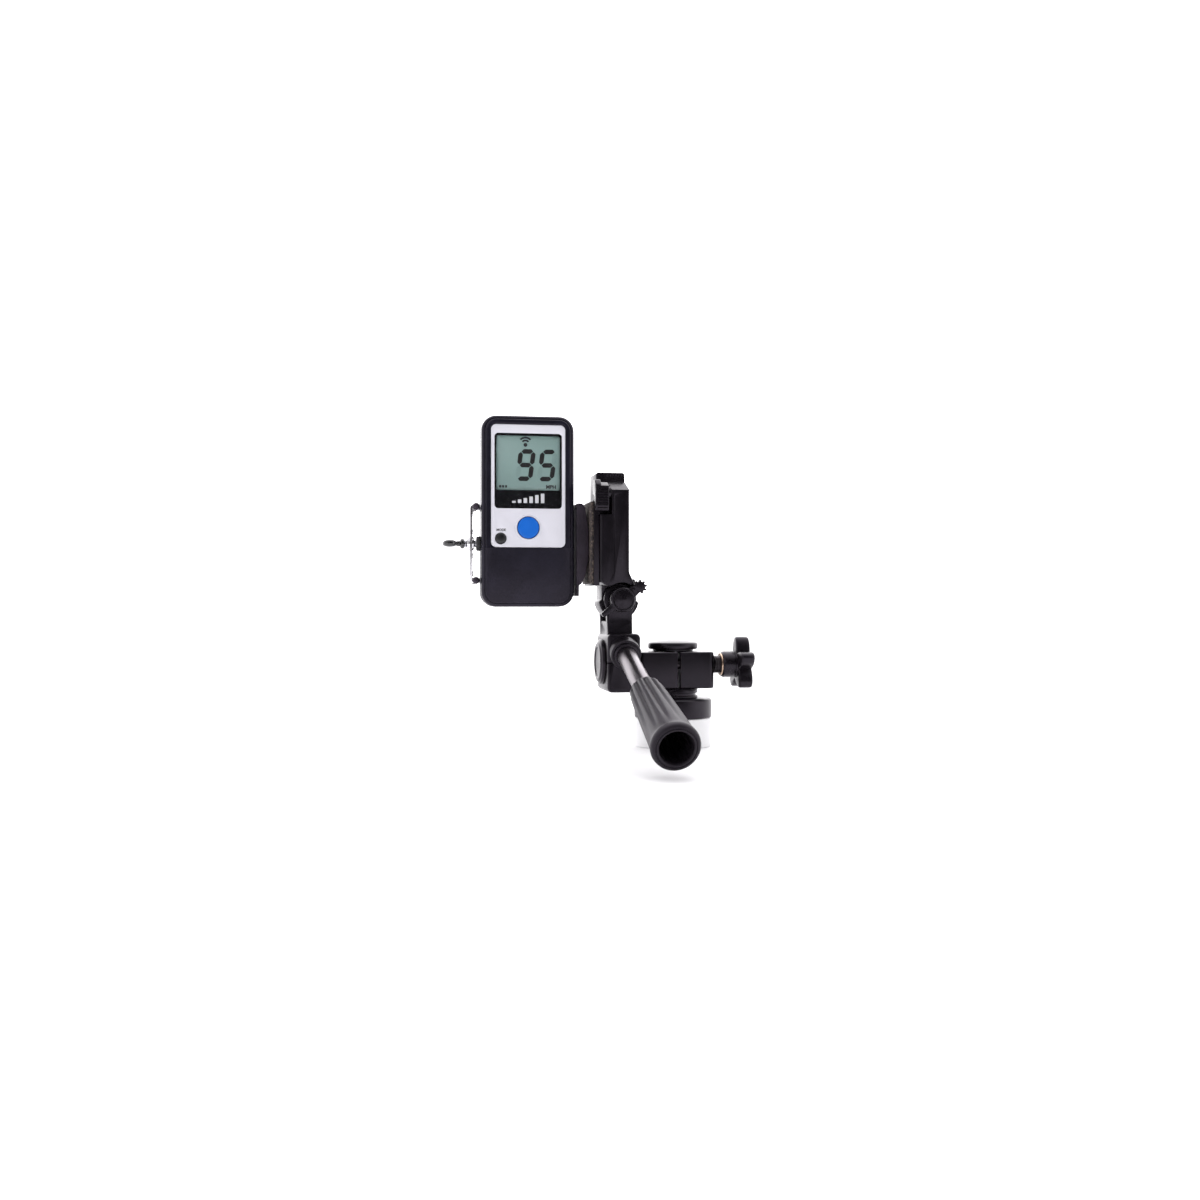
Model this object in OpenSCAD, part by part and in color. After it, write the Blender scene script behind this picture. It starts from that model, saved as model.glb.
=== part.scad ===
// Speed radar gun: a pocket radar unit held by a screw clamp on a pan and tilt head.
// Millimetres. +Z is up and -Y faces the user. The origin is the middle of the
// mounting face under the pan base, on the pan axis.

/* [Radar unit] */
// Width of the radar unit
unit_w = 58.4; // [58:0.1:59]
// Height of the radar unit
unit_h = 119.4; // [119:0.1:121]
// Corner radius of the unit's outline
unit_r = 9.5; // [9:0.1:10]
// Wall thickness of both housings
wall = 2.2; // [2:0.1:2.3]
// Height of the unit's bottom edge above the mounting face
unit_z = 70.4; // [70:0.1:71]
// Radius of the large measuring button
main_button_r = 6.65; // [6:0.05:6.9]
// Radius of the small mode button
mode_button_r = 3.25; // [3:0.05:3.4]
// How far a button can be pressed
button_travel = 0.4; // [0.2:0.1:0.4]
// Height of a display digit
digit_h = 19.3; // [18:0.1:20]

/* [Clamp] */
// Height of the clamp's screw axis above the mounting face
clamp_z = 110; // [109:0.5:111]
// Distance of each guide rod above and below the clamp axis
rod_offset = 23; // [22:0.5:23]
// Radius of the guide rods
rod_r = 1.2; // [1:0.1:1.2]
// Radius of the clamp screw
screw_r = 2.4; // [2:0.1:2.4]

/* [Platform] */
// Depth of the platform, front to back
platform_d = 40; // [40:0.5:41]
// Height of the platform's top edge above the mounting face
platform_top = 155.5; // [153:0.5:156]
// Radius of the flip hinge's outer ears
ear_r = 10.3; // [10:0.1:10.5]

/* [Head] */
// Height of the tilt axis above the mounting face
tilt_z = 35.5; // [35:0.1:36]
// Radius of the tilt shaft
shaft_r = 6; // [5:0.1:6]
// Slope of the handle below the horizontal, in degrees
handle_slope = 17.5; // [17:0.5:21]
// Distance from the handle's socket to the end of its grip
handle_len = 146; // [130:1:150]
// Radius of the handle's rod
handle_rod_r = 6; // [5:0.1:6]
// Radius of the pan spindle
spindle_r = 9; // [8:0.1:9]
// Radius of the pan base
base_r = 24.7; // [22:0.1:24.7]
// Height of the pan base
base_h = 12.4; // [12.2:0.1:12.6]
// Radius of the tripod socket, the core radius of a 3/8 inch thread
socket_r = 4; // [3.9:0.01:4.1]
// Depth of the tripod socket
socket_depth = 11; // [10:0.5:12]

/* [Hidden] */
$fn = 64;

black = "#1d1d22";
soft_black = "#141416";
white = "#e4e2ee";
steel = "#b9bcc2";
chrome_tone = "#d8dade";
brass_tone = "#b58b4a";
board_green = "#1f5a3a";

fit = 0.05;          // radial clearance of a running fit
gap = 0.2;           // clearance between pieces that slide or lie side by side
skin = 0.1;          // how far a cutter runs past a face

// Radar unit, in its own frame: x across, y front to back, z up from its bottom edge
unit_x = -94.4;
front_y = -10;
back_y = 10.3;
edge_step = 1.2;     // the outer edge is stepped in by this much
step_front_y = front_y + edge_step;
step_back_y = back_y - 1.5;
inner_front_y = front_y + wall;
inner_back_y = back_y - wall;
inner_w = unit_w - 2 * wall;
inner_h = unit_h - 2 * wall;
inner_r = unit_r - wall;
mid_z = unit_h / 2;
left_x = unit_x - unit_w / 2;
right_x = unit_x + unit_w / 2;

label_w = 46.4;
label_h = 76.2;
label_z = 75.3;
label_r = 3.4;
label_floor_y = -9.2;
label_t = 0.5;
window_w = 41.8;
window_h = 46.4;
window_z = 84.7;
window_r = 2.4;
window_seat_y = -8.7;
lcd_view_w = 39.7;
lcd_view_h = 33.8;
lcd_z = 89.6;
lcd_w = 42.4;
lcd_h = 35.6;
lcd_y = [-7.7, -5.9];
segment_t = 0.08;
digit_w = 6.7;
digit_lean = 7.5;
stroke = 1.25;
board_y = [-4.6, -3];
main_button_at = [0, 49.4];
mode_button_at = [-17.2, 42.6];
flange_y = [-7.5, -6.7];
flange_lip = 1.1;
boss_r = 2.6;
screw_spots = [for (x = [-24.2, 24.2], z = [7.4, 112]) [x, z]];

door_w = 38;
door_z = [1.3, 48];
door_y = [8.6, 10.1];
door_tongue = 1.2;
battery_r = 5.2;
battery_x = 6.2;
battery_y = 3.2;
battery_z = [4.4, 48.9];
bay_w = 26;
bay_top = 50;
bay_rib = 1.2;
radome_w = 43.6;
radome_z = 84;
radome_seat_y = 8.8;

// Clamp
pad_t = 2.4;
pad_r = 4.6;
nut_neck_r = 3;
rod_y_at = 13.2;
rod_x = [-127.4, -61.5];
sleeve_r = 2.6;
sleeve_x = [-118, -70];
jaw_in_x = right_x + 1.2;
jaw_out_x = -56.3;
strap_x = [-130.2, -128.8];
strap_w = 8;
strap_half = 24.6;
bracket_x = -126.5;
bracket_r = 1.8;
bracket_y = [-3.6, 15.4];
strap_pin_r = 1;
insert_r = 5;
camera_r = 3.1;

// Platform and quick plate
plate_face_x = -54.4;
plate_flange_x = -50.9;
platform_x = [-50.7, -32.3];
recess_x = -47.8;
plate_z = [83.8, 137.3];
tongue_z = [88, 134];
flip_x = -37;
flip_z = 75;
lug_half = 9.5;
lug_r = 12.8;
ear_y = [9.8, 14.5];
latch_y = -16;
latch_z = 141.6;
latch_spring_r = 2.3;
latch_wall_x = -43.4;
latch_pin_end = -40.5;
slope_z = [143.4, 149.6];
step_y = -4;

// Head
tilt_x = [-45.9, -25.05];
tilt_y = [-19, 18];
tilt_span_z = [17, 53.7];
insert_wall_r = 7;
handle_x = -35.2;
handle_at = [handle_x, -20, 42];
grip_start = 66;
grip_bore = 42;
arm_x = [-24.75, 23];
arm_half = 18;
arm_z = [19, 42];
knob_y = -13;
knob_z = 34;
lock_screw_r = 2.6;
lock_screw_end = 36;
washer_x = [27.4, 28.2];
star_x = [37.4, 46.4];

// ---- Shared shapes ----

// A box from its low corner to its high corner
module block(low, high)
  translate(low) cube(high - low);

// A cylinder along X, from x0 to x1, at [y, z]
module bar_x(r, x0, x1, y, z)
  translate([x0, y, z]) rotate([0, 90, 0]) cylinder(r = r, h = x1 - x0);

// A cylinder along Y, from y0 to y1, at [x, z]
module bar_y(r, y0, y1, x, z)
  translate([x, y1, z]) rotate([90, 0, 0]) cylinder(r = r, h = y1 - y0);

// A cylinder along Z, from z0 to z1, on the pan axis
module bar_z(r, z0, z1)
  translate([0, 0, z0]) cylinder(r = r, h = z1 - z0);

module rounded_square(w, h, r) {
  square([w, h - 2 * r], center = true);
  square([w - 2 * r, h], center = true);
  for (x = [-1, 1], y = [-1, 1])
    translate([x * (w / 2 - r), y * (h / 2 - r)]) circle(r);
}

// A plate with round corners that faces the user, from y0 to y1, centred at height z
module slab(w, h, r, y0, y1, z)
  translate([0, y1, z]) rotate([90, 0, 0]) linear_extrude(y1 - y0) rounded_square(w, h, r);

// A solid drawn in XZ and extruded along Y from y0 to y1
module profile_y(points, y0, y1)
  translate([0, y1, 0]) rotate([90, 0, 0]) linear_extrude(y1 - y0) polygon(points);

module in_unit()
  translate([unit_x, 0, unit_z]) children();

// Places children on the handle's axis, with +Z running from the socket to the grip's end
module on_handle()
  translate(handle_at) rotate([90 + handle_slope, 0, 0]) children();

// One tube swept along points, as a polyhedron
function ring(p, q, r, sides) =
  let (t = (q - p) / norm(q - p), side = cross(t, [0, 0, 1]), u = side / norm(side), v = cross(u, t))
  [for (k = [0:sides - 1]) p + r * (cos(360 * k / sides) * u + sin(360 * k / sides) * v)];
module sweep(path, r, sides = 8) {
  last = len(path) - 1;
  rings = [for (i = [0:last]) each ring(path[i], i < last ? path[i + 1] : 2 * path[i] - path[i - 1], r, sides)];
  walls = [for (i = [0:last - 1], k = [0:sides - 1])
    [i * sides + k, i * sides + (k + 1) % sides, (i + 1) * sides + (k + 1) % sides, (i + 1) * sides + k]];
  ends = [[for (k = [sides - 1:-1:0]) k], [for (k = [0:sides - 1]) last * sides + k]];
  polyhedron(rings, concat(walls, ends), convexity = 10);
}

// A conical coil that climbs along Z
module coil(r0, r1, height, turns, wire_r) {
  steps = 14 * turns;
  sweep([for (i = [0:steps])
    let (s = i / steps, r = r0 + (r1 - r0) * s)
    [r * cos(360 * turns * s), r * sin(360 * turns * s), wire_r + (height - 2 * wire_r) * s]], wire_r);
}

// ---- Radar unit ----

// The outline of half a housing: full depth inside the step, stepped in at the outer face
module half_outline(y_parting, y_step, y_face) {
  slab(unit_w, unit_h, unit_r, min(y_parting, y_step), max(y_parting, y_step), mid_z);
  slab(unit_w - 2 * edge_step, unit_h - 2 * edge_step, unit_r - edge_step,
    min(y_step, y_face), max(y_step, y_face), mid_z);
}

module front_housing()
  color(black) in_unit() difference() {
    union() {
      difference() {
        half_outline(0, step_front_y, front_y);
        slab(inner_w, inner_h, inner_r, inner_front_y, skin, mid_z);
      }
      for (p = screw_spots) bar_y(boss_r, inner_front_y - skin, 0, p[0], p[1]);
    }
    for (p = screw_spots) bar_y(1, -6, skin, p[0], p[1]);
    slab(label_w + 2 * gap, label_h + 2 * gap, label_r, front_y - skin, label_floor_y, label_z);
    slab(window_w + 2 * gap, window_h + 2 * gap, window_r, front_y - skin, window_seat_y, window_z);
    slab(lcd_view_w + 2 * gap, lcd_view_h + 2 * gap, 1, window_seat_y - skin, inner_front_y + skin, lcd_z);
    bar_y(main_button_r + 0.25, front_y - skin, inner_front_y + skin, main_button_at[0], main_button_at[1]);
    bar_y(mode_button_r + 0.25, front_y - skin, inner_front_y + skin, mode_button_at[0], mode_button_at[1]);
  }

module back_housing()
  color(black) in_unit() difference() {
    union() {
      difference() {
        half_outline(0, step_back_y, back_y);
        slab(inner_w, inner_h, inner_r, -skin, inner_back_y, mid_z);
      }
      for (p = screw_spots) bar_y(3, 0, inner_back_y + skin, p[0], p[1]);
      for (x = [-bay_w / 2 - bay_rib, bay_w / 2])
        block([x, 0, wall - skin], [x + bay_rib, inner_back_y + skin, bay_top + 1]);
      block([-bay_w / 2 - bay_rib, 0, bay_top], [bay_w / 2 + bay_rib, inner_back_y + skin, bay_top + 1]);
    }
    for (p = screw_spots) {
      bar_y(1.3, -skin, back_y + skin, p[0], p[1]);
      bar_y(2.5, 8.3, back_y + skin, p[0], p[1]);
    }
    block([-door_w / 2 - gap, door_y[0] - gap, -skin], [door_w / 2 + gap, back_y + skin, door_z[1] + gap]);
    block([-door_w / 2 - door_tongue - gap, 8.75, -skin], [door_w / 2 + door_tongue + gap, 9.75, door_z[1] + gap]);
    block([-bay_w / 2, inner_back_y - skin, wall + 1], [bay_w / 2, door_y[0], 48]);
    slab(radome_w + 2 * gap, radome_w + 2 * gap, 2, radome_seat_y, back_y + skin, radome_z);
    slab(radome_w - 4, radome_w - 4, 2, inner_back_y - skin, radome_seat_y + skin, radome_z);
    for (side = [-1, 1])
      block([side * 5.7 - 4.5, 2.6, -skin], [side * 5.7 + 4.5, 4.2, 1.2]);
  }

module battery_door()
  color(black) in_unit() difference() {
    union() {
      block([-door_w / 2, door_y[0], door_z[0]], [door_w / 2, door_y[1], door_z[1]]);
      block([-door_w / 2 - door_tongue, 8.9, 3], [door_w / 2 + door_tongue, 9.6, 45]);
    }
    for (z = [36:2.6:44]) block([-9, door_y[1] - 0.5, z], [9, door_y[1] + skin, z + 1.3]);
  }

module radome()
  color(black) in_unit()
    slab(radome_w, radome_w, 1.8, radome_seat_y, back_y, radome_z);

module face_label()
  color(white) in_unit() difference() {
    slab(label_w, label_h, label_r - gap, label_floor_y - label_t, label_floor_y, label_z);
    slab(window_w + 2 * gap, window_h + 2 * gap, window_r, front_y, 0, window_z);
    bar_y(main_button_r + 0.4, front_y, 0, main_button_at[0], main_button_at[1]);
    bar_y(mode_button_r + 0.4, front_y, 0, mode_button_at[0], mode_button_at[1]);
  }

module display_window()
  color("#8fa3a0", 0.35) in_unit()
    slab(window_w, window_h, window_r - gap, -9.9, window_seat_y, window_z);

module lcd_panel()
  color("#92a8a2") in_unit()
    slab(lcd_w, lcd_h, 0.6, lcd_y[0], lcd_y[1], lcd_z);

// Seven-segment digit: each bar is a six-sided outline that leans with the digit
function lean(p) = [p[0] + p[1] * tan(digit_lean), p[1]];
function flat_bar(x0, x1, z, t) =
  [[x0, z], [x0 + t, z + t], [x1 - t, z + t], [x1, z], [x1 - t, z - t], [x0 + t, z - t]];
function tall_bar(x, z0, z1, t) =
  [[x, z0], [x + t, z0 + t], [x + t, z1 - t], [x, z1], [x - t, z1 - t], [x - t, z0 + t]];
function digit_bars(w, h, t, s) =
  [flat_bar(s, w - s, h, t), tall_bar(w, h / 2 + s, h - s, t), tall_bar(w, s, h / 2 - s, t),
   flat_bar(s, w - s, 0, t), tall_bar(0, s, h / 2 - s, t), tall_bar(0, h / 2 + s, h - s, t),
   flat_bar(s, w - s, h / 2, t)];
module digit(lit, x, z) {
  bars = digit_bars(digit_w, digit_h - 2 * stroke, stroke, 0.35);
  translate([x, 0, z]) for (k = lit)
    profile_y([for (p = bars[k]) lean(p)], lcd_y[0] - segment_t, lcd_y[0]);
}

module signal_mark(x, z) {
  bar_y(0.9, lcd_y[0] - segment_t, lcd_y[0], x, z);
  for (r = [2, 3.5])
    profile_y([for (s = [0:1], k = [0:8]) let (a = s == 0 ? 50 + 10 * k : 130 - 10 * k, q = s == 0 ? r : r + 0.7)
      [x + q * cos(a), z + q * sin(a)]], lcd_y[0] - segment_t, lcd_y[0]);
}

module lcd_segments()
  color(soft_black) in_unit() {
    digit([0, 1, 2, 3, 5, 6], -4.8, 78.75);
    digit([0, 2, 3, 5, 6], 8, 78.75);
    signal_mark(-1.6, 101.1);
  }

module lcd_carrier()
  color("#d7d9da") in_unit() difference() {
    slab(lcd_w + 2, lcd_h + 2, 1, lcd_y[0], board_y[0], lcd_z);
    slab(lcd_w + gap, lcd_h + gap, 0.6, lcd_y[0] - skin, lcd_y[1], lcd_z);
    slab(lcd_w - 3, lcd_h - 1, 0.6, lcd_y[1] - skin, board_y[0] + skin, lcd_z);
  }

module zebra_strips()
  color("#c86f8a") in_unit()
    for (side = [-1, 1])
      block([-18, lcd_y[1], lcd_z + side * 15.5 - 1.2], [18, board_y[0], lcd_z + side * 15.5 + 1.2]);

// A button cap with the flange that keeps it behind the face
module button(r, proud_y, at, tone)
  color(tone) in_unit() {
    bar_y(r, proud_y, flange_y[0] + skin, at[0], at[1]);
    bar_y(r + flange_lip, flange_y[0], flange_y[1], at[0], at[1]);
    bar_y(1.5, flange_y[1] - skin, -6.1, at[0], at[1]);
  }

module main_button()
  button(main_button_r, -11, main_button_at, "#0a6ee8");

module mode_button()
  button(mode_button_r, -10.7, mode_button_at, soft_black);

module dome_switches()
  color(steel) in_unit()
    for (at = [main_button_at, mode_button_at])
      bar_y(2.6, board_y[0] - 0.8, board_y[0], at[0], at[1]);

module main_board()
  color(board_green) in_unit() difference() {
    block([-24, board_y[0], 37], [24, board_y[1], 106]);
    for (x = [-20, 20]) bar_y(1.1, board_y[0] - skin, board_y[1] + skin, x, 60);
  }

module board_chips()
  color(soft_black) in_unit() {
    block([-20, board_y[1], 56], [-11, -1.8, 65]);
    block([12, board_y[1], 57], [20, -2, 63]);
    block([-21, board_y[1], 98], [-15, -2.2, 102]);
  }

module shield_can()
  color(steel) in_unit() difference() {
    block([-10, board_y[1], 74], [14, 0.4, 98]);
    block([-9.6, board_y[1] - skin, 74.4], [13.6, 0, 97.6]);
  }

module antenna_board()
  color(board_green) in_unit() {
    block([-18, 4, 66], [18, 5.6, 102]);
    for (x = [-12, -4, 4, 12], z = [72, 80, 88, 96])
      block([x - 2.6, 5.6, z - 2.1], [x + 2.6, 5.75, z + 2.1]);
  }

module board_header()
  color(brass_tone) in_unit()
    for (k = [0:5]) block([-7.4 + 2.5 * k, board_y[1], 68], [-6.6 + 2.5 * k, 4, 68.8]);

module batteries()
  color("#7c8f3a") in_unit()
    for (side = [-1, 1]) translate([side * battery_x, battery_y, 0]) {
      bar_z(battery_r, battery_z[0], battery_z[1] - 0.9);
      bar_z(1.8, battery_z[1] - 1, battery_z[1]);
    }

module battery_springs()
  color(steel) in_unit()
    for (side = [-1, 1])
      translate([side * battery_x, battery_y, wall]) coil(3.6, 2, battery_z[0] - wall, 2, 0.35);

module battery_contacts()
  color(steel) in_unit()
    for (side = [-1, 1])
      block([side * battery_x - 4, battery_y - 4, battery_z[1]],
        [side * battery_x + 4, battery_y + 4, bay_top]);

module housing_screws()
  color(steel) in_unit()
    for (p = screw_spots) {
      bar_y(0.95, -5, 8.4, p[0], p[1]);
      difference() {
        bar_y(2.3, 8.3, 9.8, p[0], p[1]);
        block([p[0] - 1.5, 9.2, p[1] - 0.3], [p[0] + 1.5, 10, p[1] + 0.3]);
        block([p[0] - 0.3, 9.2, p[1] - 1.5], [p[0] + 0.3, 10, p[1] + 1.5]);
      }
    }

// ---- Clamp ----

module clamp_jaw()
  color(black) difference() {
    profile_y([[jaw_in_x, 77], [-62.4, 77], [-62.3, 83.6], [-60.8, 84.6], [-58.8, 90], [jaw_out_x, 101],
      [jaw_out_x, 118], [-58.8, 133.2], [-60.2, 135.2], [jaw_in_x, 135.4]], -10, 17.5);
    bar_x(insert_r, -62.3, jaw_out_x + skin, 0, clamp_z);
    for (side = [-1, 1])
      bar_x(rod_r, jaw_in_x - skin, rod_x[1], rod_y_at, clamp_z + side * rod_offset);
  }

module jaw_insert()
  color(brass_tone) difference() {
    bar_x(insert_r, -62.3, jaw_out_x, 0, clamp_z);
    bar_x(camera_r + fit, -61.8, jaw_out_x + skin, 0, clamp_z);
  }

module jaw_pad()
  color(soft_black)
    block([right_x, -7.5, 84], [jaw_in_x, 7.5, 132]);

module guide_rods()
  color(steel)
    for (side = [-1, 1])
      bar_x(rod_r, rod_x[0], rod_x[1], rod_y_at, clamp_z + side * rod_offset);

module rod_sleeves()
  color(soft_black)
    for (side = [-1, 1]) difference() {
      bar_x(sleeve_r, sleeve_x[0], sleeve_x[1], rod_y_at, clamp_z + side * rod_offset);
      bar_x(rod_r, sleeve_x[0] - skin, sleeve_x[1] + skin, rod_y_at, clamp_z + side * rod_offset);
    }

module end_brackets()
  color(black)
    for (side = [-1, 1]) translate([0, 0, clamp_z + side * rod_offset]) difference() {
      bar_y(bracket_r, bracket_y[0], bracket_y[1], bracket_x, 0);
      bar_x(rod_r, rod_x[0], bracket_x + bracket_r + skin, rod_y_at, 0);
      bar_x(strap_pin_r, bracket_x - bracket_r - skin, -127, 0, 0);
    }

module bridge_strap()
  color(chrome_tone) {
    difference() {
      block([strap_x[0], -strap_w / 2, clamp_z - strap_half], [strap_x[1], strap_w / 2, clamp_z + strap_half]);
      bar_x(nut_neck_r, strap_x[0] - skin, strap_x[1] + skin, 0, clamp_z);
    }
    for (side = [-1, 1]) {
      bar_x(strap_pin_r, strap_x[1] - skin, -127, 0, clamp_z + side * rod_offset);
      bar_x(1.9, strap_x[0] - 0.5, strap_x[0] + skin, 0, clamp_z + side * rod_offset);
      bar_x(1.5, strap_x[0] - 0.4, strap_x[0] + skin, 0, clamp_z + side * 7.4);
    }
  }

module clamp_nut()
  color(chrome_tone) difference() {
    union() {
      bar_x(4.8, -132.2, strap_x[0], 0, clamp_z);
      bar_x(nut_neck_r, strap_x[0] - skin, strap_x[1] + skin, 0, clamp_z);
      bar_x(4.6, strap_x[1], -127.6, 0, clamp_z);
    }
    bar_x(screw_r + fit, -133, -127, 0, clamp_z);
  }

module pressure_pad()
  color(soft_black) difference() {
    bar_x(pad_r, left_x - pad_t, left_x, 0, clamp_z);
    bar_x(1.5 + fit, left_x - pad_t - skin, left_x - 1.1, 0, clamp_z);
  }

module clamp_screw()
  color(steel) {
    bar_x(screw_r, -135, left_x - pad_t - gap, 0, clamp_z);
    bar_x(1.5, left_x - pad_t - 0.3, left_x - 1.2, 0, clamp_z);
  }

module screw_handle()
  color(soft_black) {
    bar_x(1.9, -138.6, -135, 0, clamp_z);
    difference() {
      bar_x(3.3, -135.8, -133.6, 0, clamp_z);
      bar_x(screw_r + fit, -135, -133, 0, clamp_z);
    }
    translate([-142.6, 0, clamp_z]) difference() {
      hull() for (side = [-1, 1])
        translate([0, side * 3, 0]) cylinder(r = 4.7, h = 5, center = true, $fn = 32);
      for (side = [-1, 1]) translate([0, 0, side * 2.5]) hull() for (end = [-1, 1])
        translate([0, end * 3, 0]) cylinder(r = 2.8, h = 2, center = true, $fn = 32);
    }
  }

// ---- Platform ----

module quick_plate()
  color(black) difference() {
    union() {
      block([plate_face_x, -18, plate_z[0]], [plate_flange_x, 18, plate_z[1]]);
      block([plate_flange_x - skin, -15, tongue_z[0]], [recess_x - gap, 15, tongue_z[1]]);
    }
    bar_x(camera_r + 0.3, plate_face_x - skin, recess_x, 0, clamp_z);
    bar_x(9.3, -51.6, recess_x, 0, clamp_z);
  }

module cork_pad()
  color("#5b4a3e") difference() {
    block([jaw_out_x + 0.3, -17, plate_z[0] + 1.2], [plate_face_x, 17, plate_z[1] - 1.2]);
    bar_x(camera_r + 0.3, jaw_out_x - skin, plate_face_x + skin, 0, clamp_z);
  }

module camera_screw()
  color(steel) difference() {
    union() {
      bar_x(camera_r, -61.4, -51.4, 0, clamp_z);
      bar_x(9, -51.5, -48.6, 0, clamp_z);
    }
    block([-49.6, -7, clamp_z - 0.8], [-48.5, 7, clamp_z + 0.8]);
  }

module platform_body()
  color(black) difference() {
    union() {
      profile_y([[platform_x[0], 86], [-46, 83], [-28, 83], [platform_x[1], 92],
        [platform_x[1], platform_top - 1], [platform_x[1] - 1, platform_top],
        [platform_x[0] + 1, platform_top], [platform_x[0], platform_top - 1]],
        -platform_d / 2, platform_d / 2);
      bar_y(lug_r, -lug_half, lug_half, flip_x, flip_z);
      block([-48, -lug_half, flip_z], [-26.5, lug_half, 88]);
    }
    // room for the hinge ears to turn on both sides of the lug
    for (y = [lug_half, -lug_half - 14])
      bar_y(ear_r + 0.5, y, y + 14, flip_x, flip_z);
    bar_y(3 + fit, -lug_half - skin, lug_half + skin, flip_x, flip_z);
    // slideway for the quick plate's tongue
    block([platform_x[0] - skin, -15.3, tongue_z[0] - 0.3], [recess_x, 15.3, tongue_z[1] + 0.3]);
    // sloped top at the front, with a step behind it
    translate([platform_x[0] - 1, 0, 0]) rotate([90, 0, 90]) linear_extrude(platform_x[1] - platform_x[0] + 2)
      polygon([[-platform_d / 2 - 1, slope_z[0] - 0.4], [step_y, slope_z[1]], [step_y, platform_top + 1],
        [-platform_d / 2 - 1, platform_top + 1]]);
    // pocket for the latch lever, its pin and its spring
    block([platform_x[0] - skin, -platform_d / 2 - 2, 128], [latch_wall_x, -10.9, platform_top + skin]);
    bar_x(latch_spring_r, latch_wall_x - skin, latch_wall_x + 1.8, latch_y, latch_z);
    bar_x(1.5, latch_wall_x - skin, latch_pin_end, latch_y, latch_z);
    // shallow panel line down the front
    block([-42, -platform_d / 2 - skin, 92], [-41.4, -platform_d / 2 + 0.3, 140]);
  }

module latch_pin()
  color(steel)
    bar_x(1.5, platform_x[0] + 0.3, latch_pin_end, latch_y, latch_z);

module latch_spring()
  color(steel) difference() {
    bar_x(latch_spring_r, latch_wall_x, latch_wall_x + 1.8, latch_y, latch_z);
    bar_x(1.5, latch_wall_x - skin, latch_wall_x + 1.9, latch_y, latch_z);
  }

module latch_lever()
  color(black) difference() {
    union() {
      bar_x(4, -52, latch_wall_x - 0.4, latch_y, latch_z);
      block([-54.6, -22.5, 139], [platform_x[0] - 0.3, -13.5, 149.6]);
      block([-54.6, -26.4, 129.7], [-46.2, -20.4, 148.1]);
    }
    bar_x(1.5 + fit, -50.6, latch_wall_x, latch_y, latch_z);
    for (k = [0:6]) block([-55, -27, 131.2 + 2.3 * k], [-44, -25.7, 132.2 + 2.3 * k]);
  }

// ---- Tilt head ----

module ear(y0, y1)
  difference() {
    union() {
      bar_y(ear_r, y0, y1, flip_x, flip_z);
      block([-45, y0, 52], [-29.3, y1, flip_z]);
    }
    bar_y(3 + fit, y0 - skin, y1 + skin, flip_x, flip_z);
  }

module tilt_block()
  color(black) difference() {
    union() {
      translate([(tilt_x[0] + tilt_x[1]) / 2, 0, (tilt_span_z[0] + tilt_span_z[1]) / 2])
        slab(tilt_x[1] - tilt_x[0], tilt_span_z[1] - tilt_span_z[0], 3, tilt_y[0], tilt_y[1], 0);
      block([-45, -ear_y[1], 52], [-29.3, ear_y[1], 61.6]);
      ear(ear_y[0], ear_y[1]);
      ear(-ear_y[1], -ear_y[0]);
      on_handle() translate([0, 0, -4]) cylinder(r = 9.6, h = 9);
    }
    bar_x(shaft_r + fit, tilt_x[0] - skin, tilt_x[1] + skin, 0, tilt_z);
    on_handle() translate([0, 0, -12]) cylinder(r = 8, h = 18);
    bar_y(3 + fit, -20, 20, flip_x, flip_z);
    // slit that lets the block close on the shaft when the handle is screwed in
    block([tilt_x[0] - skin, tilt_y[0] - skin, tilt_z - 0.35], [tilt_x[1] + skin, -5, tilt_z + 0.35]);
  }

module tilt_cap()
  color(soft_black) difference() {
    union() {
      bar_x(14.2, -48.4, tilt_x[0], 0, tilt_z);
      bar_x(12.6, -49.4, -48.3, 0, tilt_z);
    }
    bar_x(9.5, -49.5, -48.8, 0, tilt_z);
    bar_x(shaft_r + fit, -47.2, tilt_x[0] + skin, 0, tilt_z);
  }

module tilt_shaft()
  color(steel)
    bar_x(shaft_r, -47, -11.2, 0, tilt_z);

module flip_bolt()
  color(steel)
    bar_y(3, -21, 18.8, flip_x, flip_z);

module flip_nut()
  color(steel) difference() {
    translate([flip_x, 18.2, flip_z]) rotate([90, 0, 0]) cylinder(r = 5.6, h = 3.6, $fn = 6);
    bar_y(3 + fit, 14, 19, flip_x, flip_z);
  }

module flip_lever()
  color(soft_black) difference() {
    union() {
      bar_y(7.6, -24.6, -14.7, flip_x, flip_z);
      translate([flip_x, -20.4, flip_z]) rotate([90, 35, 180]) rotate([0, 180, 0]) {
        translate([0, -3.2, 0]) cube([13, 6.4, 3.4]);
        translate([-16, -1.5, 0]) cube([16, 3, 3.4]);
        translate([12.8, 0, 0]) cylinder(r = 4.2, h = 3.4);
      }
    }
    bar_y(3 + fit, -21.4, -14, flip_x, flip_z);
  }

module handle_socket()
  color(soft_black) on_handle() difference() {
    translate([0, 0, -12]) cylinder(r = 8 - fit, h = 18.6);
    translate([0, 0, -12 - skin]) cylinder(r = handle_rod_r + fit, h = 19);
  }

module handle_rod()
  color("#3a3a40") on_handle() translate([0, 0, -10]) cylinder(r = handle_rod_r, h = handle_len - grip_bore + 8);

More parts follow.
